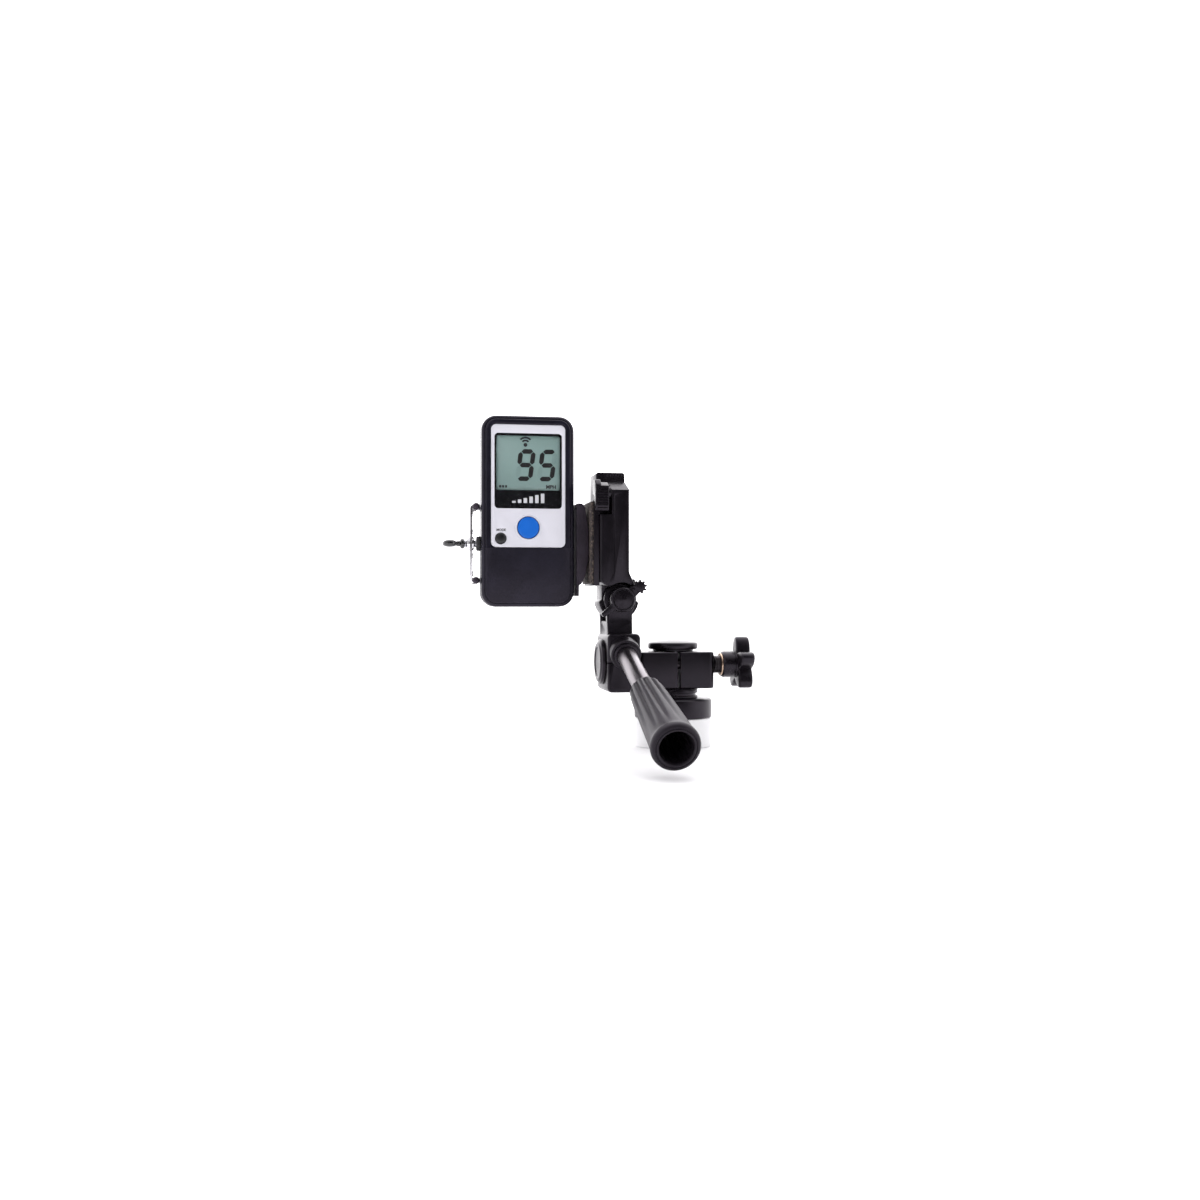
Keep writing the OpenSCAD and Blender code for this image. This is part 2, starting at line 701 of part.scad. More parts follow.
module handle_grip()
  color("#26262a") on_handle() difference() {
    rotate_extrude() polygon([[handle_rod_r + fit, grip_start], [9, grip_start], [9.5, grip_start + 1],
      [10.5, grip_start + 20], [13.3, handle_len - 8], [13.6, handle_len - 4], [12.6, handle_len - 0.6],
      [11.6, handle_len], [9.2, handle_len], [9.2, handle_len - grip_bore],
      [handle_rod_r + fit, handle_len - grip_bore]]);
    for (k = [0:7]) rotate([0, 0, 45 * k])
      block([10.6, -1.1, grip_start + 24], [14, 1.1, handle_len - 12]);
  }

// ---- Pan head ----

module pan_arm()
  color(black) difference() {
    translate([(arm_x[0] + arm_x[1]) / 2, 0, arm_z[0]]) linear_extrude(arm_z[1] - arm_z[0])
      rounded_square(arm_x[1] - arm_x[0], 2 * arm_half, 2.4);
    bar_z(spindle_r + fit, arm_z[0] - skin, arm_z[1] + skin);
    block([-1.1, -arm_half - skin, arm_z[0] - skin], [1.1, -spindle_r + 1, arm_z[1] + skin]);
    bar_x(shaft_r + fit, arm_x[0] - skin, -11, 0, tilt_z);
    bar_x(lock_screw_r + fit, -12, arm_x[1] + skin, knob_y, knob_z);
  }

module pan_lock_screw()
  color(steel) {
    bar_x(lock_screw_r, -11.5, lock_screw_end, knob_y, knob_z);
    bar_x(5.6, arm_x[1] + 0.4, washer_x[0], knob_y, knob_z);
  }

module knob_washer()
  color(brass_tone) difference() {
    bar_x(7, washer_x[0], washer_x[1], knob_y, knob_z);
    bar_x(lock_screw_r, washer_x[0] - skin, washer_x[1] + skin, knob_y, knob_z);
  }

module pan_knob()
  color(soft_black) difference() {
    union() {
      bar_x(8.3, washer_x[1], star_x[0] + skin, knob_y, knob_z);
      for (k = [0:4]) translate([star_x[0], knob_y, knob_z]) rotate([72 * k + 90, 0, 0]) rotate([0, 90, 0]) {
        translate([-13.2, -3.9, 0]) cube([13.2, 7.8, star_x[1] - star_x[0] - 0.2]);
        translate([-13.2, 0, 0]) cylinder(r = 4.3, h = star_x[1] - star_x[0] - 0.2);
      }
      bar_x(9.4, star_x[0], star_x[1], knob_y, knob_z);
    }
    bar_x(lock_screw_r, washer_x[1] - skin, lock_screw_end, knob_y, knob_z);
  }

module top_cap()
  color(soft_black) {
    bar_z(13, arm_z[1] + gap, 43.5);
    difference() {
      bar_z(15.9, 43.4, 47.6);
      translate([0, 0, 43]) difference() {
        cylinder(r = 17, h = 1);
        translate([0, 0, -skin]) cylinder(r = 15, h = 1.2);
      }
    }
    intersection() {
      bar_z(15.2, 47.5, 50);
      translate([0, 0, 49.3 - 46]) sphere(r = 46);
    }
    bar_z(3, 32, arm_z[1] + gap + skin);
  }

module friction_ring()
  color(soft_black) difference() {
    bar_z(15.9, base_h, arm_z[0] - gap);
    bar_z(spindle_r, base_h - skin, arm_z[0]);
    difference() {
      bar_z(17, 14, 15.6);
      bar_z(14.6, 13.9, 15.7);
    }
  }

module spindle()
  color(steel) difference() {
    bar_z(spindle_r, base_h, arm_z[1]);
    bar_z(3, 32, arm_z[1] + skin);
  }

module pan_base()
  color(black) difference() {
    union() {
      bar_z(base_r, 0, base_h - 1.4);
      translate([0, 0, base_h - 1.4]) cylinder(r1 = base_r, r2 = base_r - 1.4, h = 1.4);
    }
    bar_z(insert_wall_r, -skin, socket_depth);
  }

module tripod_insert()
  color(brass_tone) difference() {
    bar_z(insert_wall_r, 0, socket_depth);
    bar_z(socket_r, -skin, socket_depth + skin);
  }

front_housing();
back_housing();
battery_door();
radome();
face_label();
display_window();
lcd_panel();
lcd_segments();
lcd_carrier();
zebra_strips();
main_button();
mode_button();
dome_switches();
main_board();
board_chips();
shield_can();
antenna_board();
board_header();
batteries();
battery_springs();
battery_contacts();
housing_screws();
clamp_jaw();
jaw_insert();
jaw_pad();
guide_rods();
rod_sleeves();
end_brackets();
bridge_strap();
clamp_nut();
pressure_pad();
clamp_screw();
screw_handle();
quick_plate();
cork_pad();
camera_screw();
platform_body();
latch_pin();
latch_spring();
latch_lever();
flip_bolt();
flip_nut();
flip_lever();
tilt_block();
tilt_cap();
tilt_shaft();
handle_socket();
handle_rod();
handle_grip();
pan_arm();
pan_knob();
pan_lock_screw();
knob_washer();
top_cap();
friction_ring();
spindle();
pan_base();
tripod_insert();
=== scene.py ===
"""Looks of a pocket speed radar held by a screw clamp on a pan and tilt head.

Lengths in the building code are millimetres in the part's own frame, and MM turns them
into Blender's metres. +Z is up and -Y faces the user.
"""

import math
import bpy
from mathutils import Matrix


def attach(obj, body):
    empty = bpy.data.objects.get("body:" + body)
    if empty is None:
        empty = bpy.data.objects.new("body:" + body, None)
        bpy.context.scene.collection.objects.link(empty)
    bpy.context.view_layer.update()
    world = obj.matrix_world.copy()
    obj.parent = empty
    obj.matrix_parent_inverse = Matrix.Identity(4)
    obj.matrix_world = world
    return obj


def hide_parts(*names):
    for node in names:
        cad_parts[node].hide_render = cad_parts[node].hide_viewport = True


bl_info = {
    "name": "Speed radar gun looks",
    "version": (1, 0, 0),
    "blender": (4, 5, 0),
    "location": "View3D > Sidebar > Speed Radar",
    "description": "Builds the finished surfaces of a speed radar on a pan and tilt head",
    "category": "Object",
}

import bmesh
import bpy
from mathutils import Matrix, Vector

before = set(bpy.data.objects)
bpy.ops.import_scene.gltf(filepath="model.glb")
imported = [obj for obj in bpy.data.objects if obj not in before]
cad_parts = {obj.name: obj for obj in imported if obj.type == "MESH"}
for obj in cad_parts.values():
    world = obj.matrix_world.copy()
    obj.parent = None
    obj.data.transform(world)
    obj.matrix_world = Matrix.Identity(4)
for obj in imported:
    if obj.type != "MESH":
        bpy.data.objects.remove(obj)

MM = 0.001

# Radar unit, in its own frame: x across, y front to back, z up from its bottom edge
UNIT_AT = Vector((-94.4, 0, 70.4))
UNIT_W, UNIT_H, UNIT_R = 58.4, 119.4, 9.5
MID_Z = UNIT_H / 2
WALL = 2.2
FACE_Y, BACK_Y = -10, 10.3
LABEL = (46.4, 76.2, 3.2, 75.3)
WINDOW = (41.8, 46.4, 2.2, 84.7)
VIEW = (39.7, 33.8, 1.0, 89.6)
RADOME = (43.6, 43.6, 1.8, 84)
RECESS_Y, LABEL_Y, SEAT_Y, LCD_Y = -9.2, -9.7, -8.7, -7.7
MAIN_AT, MAIN_R = (0, 49.4), 6.65
MODE_AT, MODE_R = (-17.2, 42.6), 3.25
SCREWS = [(x, z) for x in (-24.2, 24.2) for z in (7.4, 112)]
LEFT_X = UNIT_AT.x - UNIT_W / 2

# Clamp and head
CLAMP_Z = 110
ROD_OFFSET, ROD_Y = 23, 13.2
FLIP_X, FLIP_Z = -37, 75
TILT_Z = 35.5
KNOB_Y, KNOB_Z = -13, 34
LATCH_AT = (0, -16, 141.6)
HANDLE_AT = Vector((-35.2, -20, 42))
HANDLE_SLOPE = math.radians(17.5)
HANDLE_ALONG = Vector((0, -math.cos(HANDLE_SLOPE), -math.sin(HANDLE_SLOPE)))

# Stage: the camera, the level way it looks, and the floor under the plinth
CAMERA_AT = Vector((-189.4, -805.3, 74.8))
CAMERA_ALONG = Vector((0.1736, 0.9848, 0))
FLOOR_Z = -18.5

# Segments lit for each figure of a seven-segment digit, clockwise from the top, the middle last
FIGURES = ["012345", "12", "01643", "01623", "5612", "05623", "056432", "012", "0123456", "012356"]


# ---- Outlines ----

def arc(x, y, r, start, end, steps):
    """Points on an arc, angles in degrees."""
    return [
        (
            x + r * math.cos(math.radians(start + (end - start) * k / steps)),
            y + r * math.sin(math.radians(start + (end - start) * k / steps)),
        )
        for k in range(steps + 1)
    ]


def rounded(corners, steps=6):
    """A closed outline from corners (x, y, radius), each turned into an arc."""
    result = []
    for i, (x, y, r) in enumerate(corners):
        if r <= 0:
            result.append((x, y))
            continue
        here = Vector((x, y))
        back = Vector(corners[i - 1][:2]) - here
        ahead = Vector(corners[(i + 1) % len(corners)][:2]) - here
        half = back.angle(ahead) / 2
        reach = min(r / math.tan(half), 0.49 * back.length, 0.49 * ahead.length)
        r = reach * math.tan(half)
        centre = here + (back.normalized() + ahead.normalized()).normalized() * (r / math.sin(half))
        first = here + back.normalized() * reach - centre
        last = here + ahead.normalized() * reach - centre
        start = math.atan2(first.y, first.x)
        turn = (math.atan2(last.y, last.x) - start + math.pi) % (2 * math.pi) - math.pi
        result += arc(centre.x, centre.y, r, math.degrees(start), math.degrees(start + turn), steps)
    return result


def rectangle(w, h, r, z=0.0, x=0.0, steps=8):
    """A rounded rectangle, always with the same number of points for the same steps."""
    points = []
    for k, (sx, sz) in enumerate([(1, 1), (-1, 1), (-1, -1), (1, -1)]):
        points += arc(x + sx * (w / 2 - r), z + sz * (h / 2 - r), r, 90 * k, 90 * k + 90, steps)
    return points


def inset(shape, d):
    """A rounded rectangle (width, height, radius, centre) drawn in by d."""
    w, h, r, z = shape
    return (w - 2 * d, h - 2 * d, max(r - d, 0.2), z)


# ---- Meshes ----

def mesh_object(name, points, faces, at=(0, 0, 0)):
    """An object from points in millimetres, with seams merged and faces outward."""
    at = Vector(at)
    mesh = bpy.data.meshes.new(name)
    mesh.from_pydata([(Vector(p) + at) * MM for p in points], [], faces)
    work = bmesh.new()
    work.from_mesh(mesh)
    bmesh.ops.remove_doubles(work, verts=work.verts, dist=1e-6)
    bmesh.ops.recalc_face_normals(work, faces=work.faces)
    work.to_mesh(mesh)
    work.free()
    obj = bpy.data.objects.new(name, mesh)
    bpy.context.scene.collection.objects.link(obj)
    return obj


def loft(name, loops, closed=False, at=(0, 0, 0)):
    """Skins loops of equal length. The ends are capped, or the last loop joins the first."""
    size = len(loops[0])
    points = [p for loop in loops for p in loop]
    faces = []
    for i in range(len(loops) if closed else len(loops) - 1):
        a, b = i * size, (i + 1) % len(loops) * size
        for k in range(size):
            n = (k + 1) % size
            faces.append((a + k, a + n, b + n, b + k))
    if not closed:
        faces.append(tuple(range(size))[::-1])
        faces.append(tuple(range(len(points) - size, len(points))))
    return mesh_object(name, points, faces, at)


def prism(name, outline, axis, low, high, at=(0, 0, 0)):
    """A solid with an outline drawn across an axis, running from low to high."""
    place = {
        "X": lambda p, t: (t, p[0], p[1]),
        "Y": lambda p, t: (p[0], t, p[1]),
        "Z": lambda p, t: (p[0], p[1], t),
    }[axis]
    return loft(name, [[place(p, t) for p in outline] for t in (low, high)], at=at)


def box(name, low, high, at=(0, 0, 0)):
    """A box from its low corner to its high corner."""
    outline = [(low[0], low[2]), (high[0], low[2]), (high[0], high[2]), (low[0], high[2])]
    return prism(name, outline, "Y", low[1], high[1], at)


def lathe(name, profile, at, along, steps=96, wave=None):
    """A turned piece. The profile lists (distance along the axis, radius); where it starts and
    ends off the axis it closes on itself as a ring. wave(t, angle, r) may change a radius."""
    along = Vector(along).normalized()
    side = Vector((0, 0, 1)) if abs(along.z) < 0.9 else Vector((1, 0, 0))
    u = along.cross(side).normalized()
    v = along.cross(u)
    points, rings = [], []
    for t, r in profile:
        if r < 1e-6:
            rings.append([len(points)])
            points.append(along * t)
            continue
        rings.append(list(range(len(points), len(points) + steps)))
        for k in range(steps):
            angle = 2 * math.pi * k / steps
            radius = wave(t, angle, r) if wave else r
            points.append(along * t + (u * math.cos(angle) + v * math.sin(angle)) * radius)
    faces = []
    pairs = list(zip(rings, rings[1:]))
    if len(rings[0]) > 1 and len(rings[-1]) > 1:
        pairs.append((rings[-1], rings[0]))
    for a, b in pairs:
        for k in range(steps):
            n = (k + 1) % steps
            if len(a) == 1:
                faces.append((a[0], b[n], b[k]))
            elif len(b) == 1:
                faces.append((a[k], a[n], b[0]))
            else:
                faces.append((a[k], a[n], b[n], b[k]))
    return mesh_object(name, points, faces, at)


def turned(r, start, end, edge=0.4, steps=3):
    """The profile of a plain cylinder with rounded ends."""
    low = [(start + edge - y, x) for x, y in arc(r - edge, 0, edge, 90, 0, steps)]
    high = [(end - edge + y, x) for x, y in arc(r - edge, 0, edge, 0, 90, steps)]
    return [(start, 0), *low, *high, (end, 0)]


def applied(obj):
    """Replaces an object's mesh with what its modifiers give."""
    graph = bpy.context.evaluated_depsgraph_get()
    mesh = bpy.data.meshes.new_from_object(obj.evaluated_get(graph))
    obj.modifiers.clear()
    spent, obj.data = obj.data, mesh
    bpy.data.meshes.remove(spent)
    return obj


def soften(obj, width, segments=3, angle=32):
    """Rounds every edge sharper than the angle; width is in millimetres."""
    bevel = obj.modifiers.new("Edges", "BEVEL")
    bevel.width = width * MM
    bevel.segments = segments
    bevel.limit_method = "ANGLE"
    bevel.angle_limit = math.radians(angle)
    bevel.miter_outer = "MITER_ARC"
    return applied(obj)


def combine(obj, others, operation="DIFFERENCE"):
    """Cuts other objects from this one, or joins them to it, and removes them."""
    for other in others:
        step = obj.modifiers.new(operation.title(), "BOOLEAN")
        step.operation = operation
        step.solver = "EXACT"
        step.object = other
    applied(obj)
    for other in others:
        mesh = other.data
        bpy.data.objects.remove(other)
        bpy.data.meshes.remove(mesh)
    work = bmesh.new()
    work.from_mesh(obj.data)
    bmesh.ops.remove_doubles(work, verts=work.verts, dist=2e-6)
    bmesh.ops.dissolve_degenerate(work, edges=work.edges, dist=2e-6)
    work.to_mesh(obj.data)
    work.free()
    return obj


def join(obj, *others):
    """Puts other objects' meshes into this one as loose parts of the same piece."""
    work = bmesh.new()
    for source in (obj, *others):
        work.from_mesh(source.data)
    work.to_mesh(obj.data)
    work.free()
    for other in others:
        mesh = other.data
        bpy.data.objects.remove(other)
        bpy.data.meshes.remove(mesh)
    return obj


def softened(node, width, segments=3, angle=32):
    """A copy of a CAD node with flat faces merged and its edges rounded."""
    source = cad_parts[node]
    obj = bpy.data.objects.new(node + "_finish", source.data.copy())
    bpy.context.scene.collection.objects.link(obj)
    work = bmesh.new()
    work.from_mesh(obj.data)
    bmesh.ops.remove_doubles(work, verts=work.verts, dist=2e-6)
    bmesh.ops.dissolve_limit(
        work, angle_limit=math.radians(0.5), verts=work.verts, edges=work.edges
    )
    work.to_mesh(obj.data)
    work.free()
    return soften(obj, width, segments, angle)


def lettering(name, text, height, x, z, y):
    """Flat generic lettering that faces the user, its left foot at x and z."""
    curve = bpy.data.curves.new(name, "FONT")
    curve.body = text
    curve.size = height * 1.37 * MM
    curve.extrude = 0.012 * MM
    curve.offset = height * 0.05 * MM
    curve.resolution_u = 4
    source = bpy.data.objects.new(name + "_curve", curve)
    bpy.context.scene.collection.objects.link(source)
    graph = bpy.context.evaluated_depsgraph_get()
    mesh = bpy.data.meshes.new_from_object(source.evaluated_get(graph))
    bpy.data.objects.remove(source)
    bpy.data.curves.remove(curve)
    place = Matrix.Translation((UNIT_AT + Vector((x, y, z))) * MM)
    mesh.transform(place @ Matrix.Rotation(math.radians(90), 4, "X"))
    obj = bpy.data.objects.new(name, mesh)
    bpy.context.scene.collection.objects.link(obj)
    return obj


def repeat(obj, count, step=(0, 0, 0), turn=0.0, axis=(0, 0, 1), centre=(0, 0, 0)):
    """Repeats a piece with Geometry Nodes, each copy a step on and a turn round from the last."""
    tree = bpy.data.node_groups.new(obj.name + "_row", "GeometryNodeTree")
    face = tree.interface
    face.new_socket("Geometry", in_out="INPUT", socket_type="NodeSocketGeometry")
    inputs = {
        "Count": face.new_socket("Count", in_out="INPUT", socket_type="NodeSocketInt"),
        "Step": face.new_socket("Step", in_out="INPUT", socket_type="NodeSocketVector"),
        "Turn": face.new_socket("Turn", in_out="INPUT", socket_type="NodeSocketFloat"),
        "Axis": face.new_socket("Axis", in_out="INPUT", socket_type="NodeSocketVector"),
        "Centre": face.new_socket("Centre", in_out="INPUT", socket_type="NodeSocketVector"),
        "Material": face.new_socket("Material", in_out="INPUT", socket_type="NodeSocketMaterial"),
    }
    face.new_socket("Geometry", in_out="OUTPUT", socket_type="NodeSocketGeometry")

    def add(kind, **settings):
        node = tree.nodes.new(kind)
        for key, value in settings.items():
            setattr(node, key, value)
        return node

    def link(source, target):
        tree.links.new(source, target)

    given = add("NodeGroupInput").outputs
    line = add("GeometryNodeMeshLine", mode="OFFSET")
    link(given["Count"], line.inputs["Count"])
    link(given["Step"], line.inputs["Offset"])
    shift = add("ShaderNodeVectorMath", operation="SCALE")
    link(given["Centre"], shift.inputs[0])
    shift.inputs["Scale"].default_value = -1
    centred = add("GeometryNodeTransform")
    link(given["Geometry"], centred.inputs["Geometry"])
    link(shift.outputs[0], centred.inputs["Translation"])
    index = add("GeometryNodeInputIndex")
    angle = add("ShaderNodeMath", operation="MULTIPLY")
    link(index.outputs[0], angle.inputs[0])
    link(given["Turn"], angle.inputs[1])
    spin = add("FunctionNodeAxisAngleToRotation")
    link(given["Axis"], spin.inputs["Axis"])
    link(angle.outputs[0], spin.inputs["Angle"])
    copies = add("GeometryNodeInstanceOnPoints")
    link(line.outputs["Mesh"], copies.inputs["Points"])
    link(centred.outputs["Geometry"], copies.inputs["Instance"])
    link(spin.outputs["Rotation"], copies.inputs["Rotation"])
    back = add("GeometryNodeTransform")
    link(copies.outputs["Instances"], back.inputs["Geometry"])
    link(given["Centre"], back.inputs["Translation"])
    real = add("GeometryNodeRealizeInstances")
    link(back.outputs["Geometry"], real.inputs["Geometry"])
    paint = add("GeometryNodeSetMaterial")
    link(real.outputs["Geometry"], paint.inputs["Geometry"])
    link(given["Material"], paint.inputs["Material"])
    link(paint.outputs["Geometry"], add("NodeGroupOutput").inputs["Geometry"])

    row = obj.modifiers.new("Row", "NODES")
    row.node_group = tree
    values = {
        "Count": count,
        "Step": [c * MM for c in step],
        "Turn": math.radians(turn),
        "Axis": [float(c) for c in axis],
        "Centre": [c * MM for c in centre],
        "Material": finish_of("shell"),
    }
    for name, value in values.items():
        row[inputs[name].identifier] = value
    obj.update_tag()
    return applied(obj)


def finish_piece(obj, body, slot, finish, *replaced, smooth=38):
    """Shades a piece, gives it its finish, ties it to its body, and hides the CAD nodes it stands
    for.
    """
    obj.data.materials.clear()
    obj.data.materials.append(finish_of(finish))
    for face in obj.data.polygons:
        face.material_index = 0
    obj.data.shade_smooth()
    obj.data.set_sharp_from_angle(angle=math.radians(smooth))
    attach(obj, body)
    if replaced:
        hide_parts(*replaced)
    return obj


def paint_nodes(finish, *nodes):
    """Gives CAD nodes that stay in view their finish."""
    for node in nodes:
        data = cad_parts[node].data
        data.materials.clear()
        data.materials.append(finish_of(finish))


# ---- Materials ----

class Wire:
    """A shader value that takes part in ordinary arithmetic."""

    def __init__(self, paint, socket):
        self.paint, self.socket = paint, socket

    def _math(self, operation, *values):
        return self.paint.add("ShaderNodeMath", {"operation": operation}, dict(enumerate(values)))

    def __add__(self, other):
        return self._math("ADD", self, other)

    __radd__ = __add__

    def __mul__(self, other):
        return self._math("MULTIPLY", self, other)

    __rmul__ = __mul__

    def __rsub__(self, other):
        return self._math("SUBTRACT", other, self)

    def ramp(self, low, high):
        """0 below low, 1 above high, and smooth between them."""
        return self.paint.add(
            "ShaderNodeMapRange", {"interpolation_type": "SMOOTHSTEP"},
            {"Value": self, "From Min": low, "From Max": high}, "Result",
        )


class Nodes:
    """Adds shader nodes to one tree."""

    def __init__(self, tree):
        self.tree = tree
        self._place = None

    def feed(self, target, value):
        """Links a wire to an input, or sets the input to a plain value."""
        if isinstance(value, Wire):
            self.tree.links.new(value.socket, target)
        else:
            target.default_value = value

    def add(self, kind, settings=None, values=None, output=0):
        """Adds a node of a kind with settings and input values, and returns one output."""
        node = self.tree.nodes.new(kind)
        for key, value in (settings or {}).items():
            setattr(node, key, value)
        for key, value in (values or {}).items():
            self.feed(node.inputs[key], value)
        return Wire(self, node.outputs[output])

    @property
    def place(self):
        """Object coordinates; on the world, the direction looked in."""
        if self._place is None:
            self._place = self.add("ShaderNodeTexCoord", output="Object")
        return self._place

    def axis(self, name):
        """One object coordinate, in metres."""
        return self.add("ShaderNodeSeparateXYZ", values={0: self.place}, output=name)


class Paint(Nodes):
    """Builds one material around a Principled shader."""

    def __init__(self, name, colour, roughness, metallic=0.0, **constants):
        self.material = bpy.data.materials.new(name)
        self.material.use_nodes = True
        self.material.diffuse_color = (*colour, 1)
        super().__init__(self.material.node_tree)
        self.shader = self.tree.nodes["Principled BSDF"]
        self.set("Base Color", (*colour, 1))
        self.set("Roughness", roughness)
        self.set("Metallic", metallic)
        for key, value in constants.items():
            self.set(key.replace("_", " "), value)

    def set(self, key, value):
        """Sets an input of the Principled shader to a value or a wire."""
        self.feed(self.shader.inputs[key], value)

    def noise(self, size, detail=2.0, stretch=(1, 1, 1)):
        """Noise with features of about the given size in millimetres."""
        spot = self.add(
            "ShaderNodeMapping", values={"Vector": self.place, "Scale": stretch}, output="Vector"
        )
        return self.add(
            "ShaderNodeTexNoise", None,
            {"Vector": spot, "Scale": 1 / (size * MM), "Detail": detail}, "Fac",
        )

    def mix(self, share, first, second):
        """A colour between two, by a wire."""
        return self.add(
            "ShaderNodeMix", {"data_type": "RGBA"},
            {"Factor": share, 6: (*first, 1), 7: (*second, 1)}, 2,
        )

    def bump(self, height, distance):
        """Feeds a height into the normal; distance is the relief in millimetres."""
        self.set("Normal", self.add(
            "ShaderNodeBump", None, {"Height": height, "Distance": distance * MM}, "Normal"
        ))


def shade(colour, factor):
    return tuple(min(c * factor, 1) for c in colour)


def moulded(name, colour, roughness, grain, relief, wear=0.25, **constants):
    """Moulded plastic: a fine grain, uneven gloss, and slightly paler worn patches."""
    paint = Paint(name, colour, roughness, **constants)
    patches = paint.noise(14, 4)
    paint.set("Base Color", paint.mix(
        patches.ramp(0.35, 0.7), shade(colour, 1 - wear), shade(colour, 1 + wear)
    ))
    paint.set("Roughness", patches * 0.12 + (roughness - 0.06))
    if relief:
        paint.bump(paint.noise(grain, 2), relief)
    return paint


def metal(name, colour, roughness, stretch=(1, 1, 1), relief=0.004):
    """Bright metal with fine draw lines."""
    paint = Paint(name, colour, roughness, 1.0)
    lines = paint.noise(0.5, 3, stretch)
    paint.set("Roughness", lines * 0.14 + (roughness - 0.07))
    paint.bump(lines, relief)
    return paint


def rubber(name, colour):
    """Matt rubber with a dusty bloom."""
    paint = Paint(name, colour, 0.72, Sheen_Weight=0.12, Sheen_Roughness=0.6)
    bloom = paint.noise(6, 5)
    paint.set("Base Color", paint.mix(bloom.ramp(0.4, 0.75), colour, shade(colour, 1.7)))
    paint.set("Roughness", bloom * 0.2 + 0.58)
    paint.bump(paint.noise(0.5, 2), 0.012)
    return paint


def two_grain(name, colour, roughness, **constants):
    """The radar unit's shell: smooth round the label, finely grained below it."""
    paint = moulded(name, colour, roughness, 0.3, 0, **constants)
    low = 1 - paint.axis("Z").ramp((UNIT_AT.z + 36.4) * MM, (UNIT_AT.z + 37) * MM)
    leather = paint.noise(0.8, 3)
    paint.bump(leather * (low * 0.9 + 0.1), 0.12)
    paint.set("Roughness", low * 0.2 + (roughness - 0.1))
    return paint


def cork(name):
    """Cork and rubber granules."""
    paint = Paint(name, (0.09, 0.07, 0.06), 0.85)
    cells = paint.add(
        "ShaderNodeTexVoronoi", None, {"Vector": paint.place, "Scale": 1 / (1.3 * MM)}, "Distance"
    )
    speck = paint.noise(0.9, 3)
    paint.set("Base Color", paint.mix(
        (cells * 0.9 + speck * 0.6).ramp(0.45, 0.95), (0.13, 0.10, 0.085), (0.025, 0.02, 0.02)
    ))
    paint.bump(cells + speck, 0.12)
    return paint


def liquid_crystal(name, colour):
    """The display's pale field with a faint random haze, and painted shade: darker towards its foot
    and lighter towards its top.
    """
    paint = Paint(name, colour, 0.35, Coat_Weight=0.4, Coat_Roughness=0.12)
    # painted shade: this ramp makes the field's colour darker towards its foot and lighter towards
    # its top
    height = paint.axis("Z").ramp((UNIT_AT.z + 70) * MM, (UNIT_AT.z + 108) * MM)
    haze = paint.noise(18, 2)
    paint.set("Base Color", paint.mix(
        height * 0.7 + haze * 0.3, shade(colour, 0.88), shade(colour, 1.1)
    ))
    return paint


def board(name, colour):
    """Circuit board with traces under its solder mask."""
    paint = Paint(name, colour, 0.35, Coat_Weight=0.5)
    traces = paint.add(
        "ShaderNodeTexVoronoi", {"distance": "CHEBYCHEV"},
        {"Vector": paint.place, "Scale": 1 / (3.2 * MM)}, "Distance",
    )
    paint.set("Base Color", paint.mix(traces.ramp(0.3, 0.36), shade(colour, 1.6), colour))
    paint.bump(traces, 0.03)
    return paint


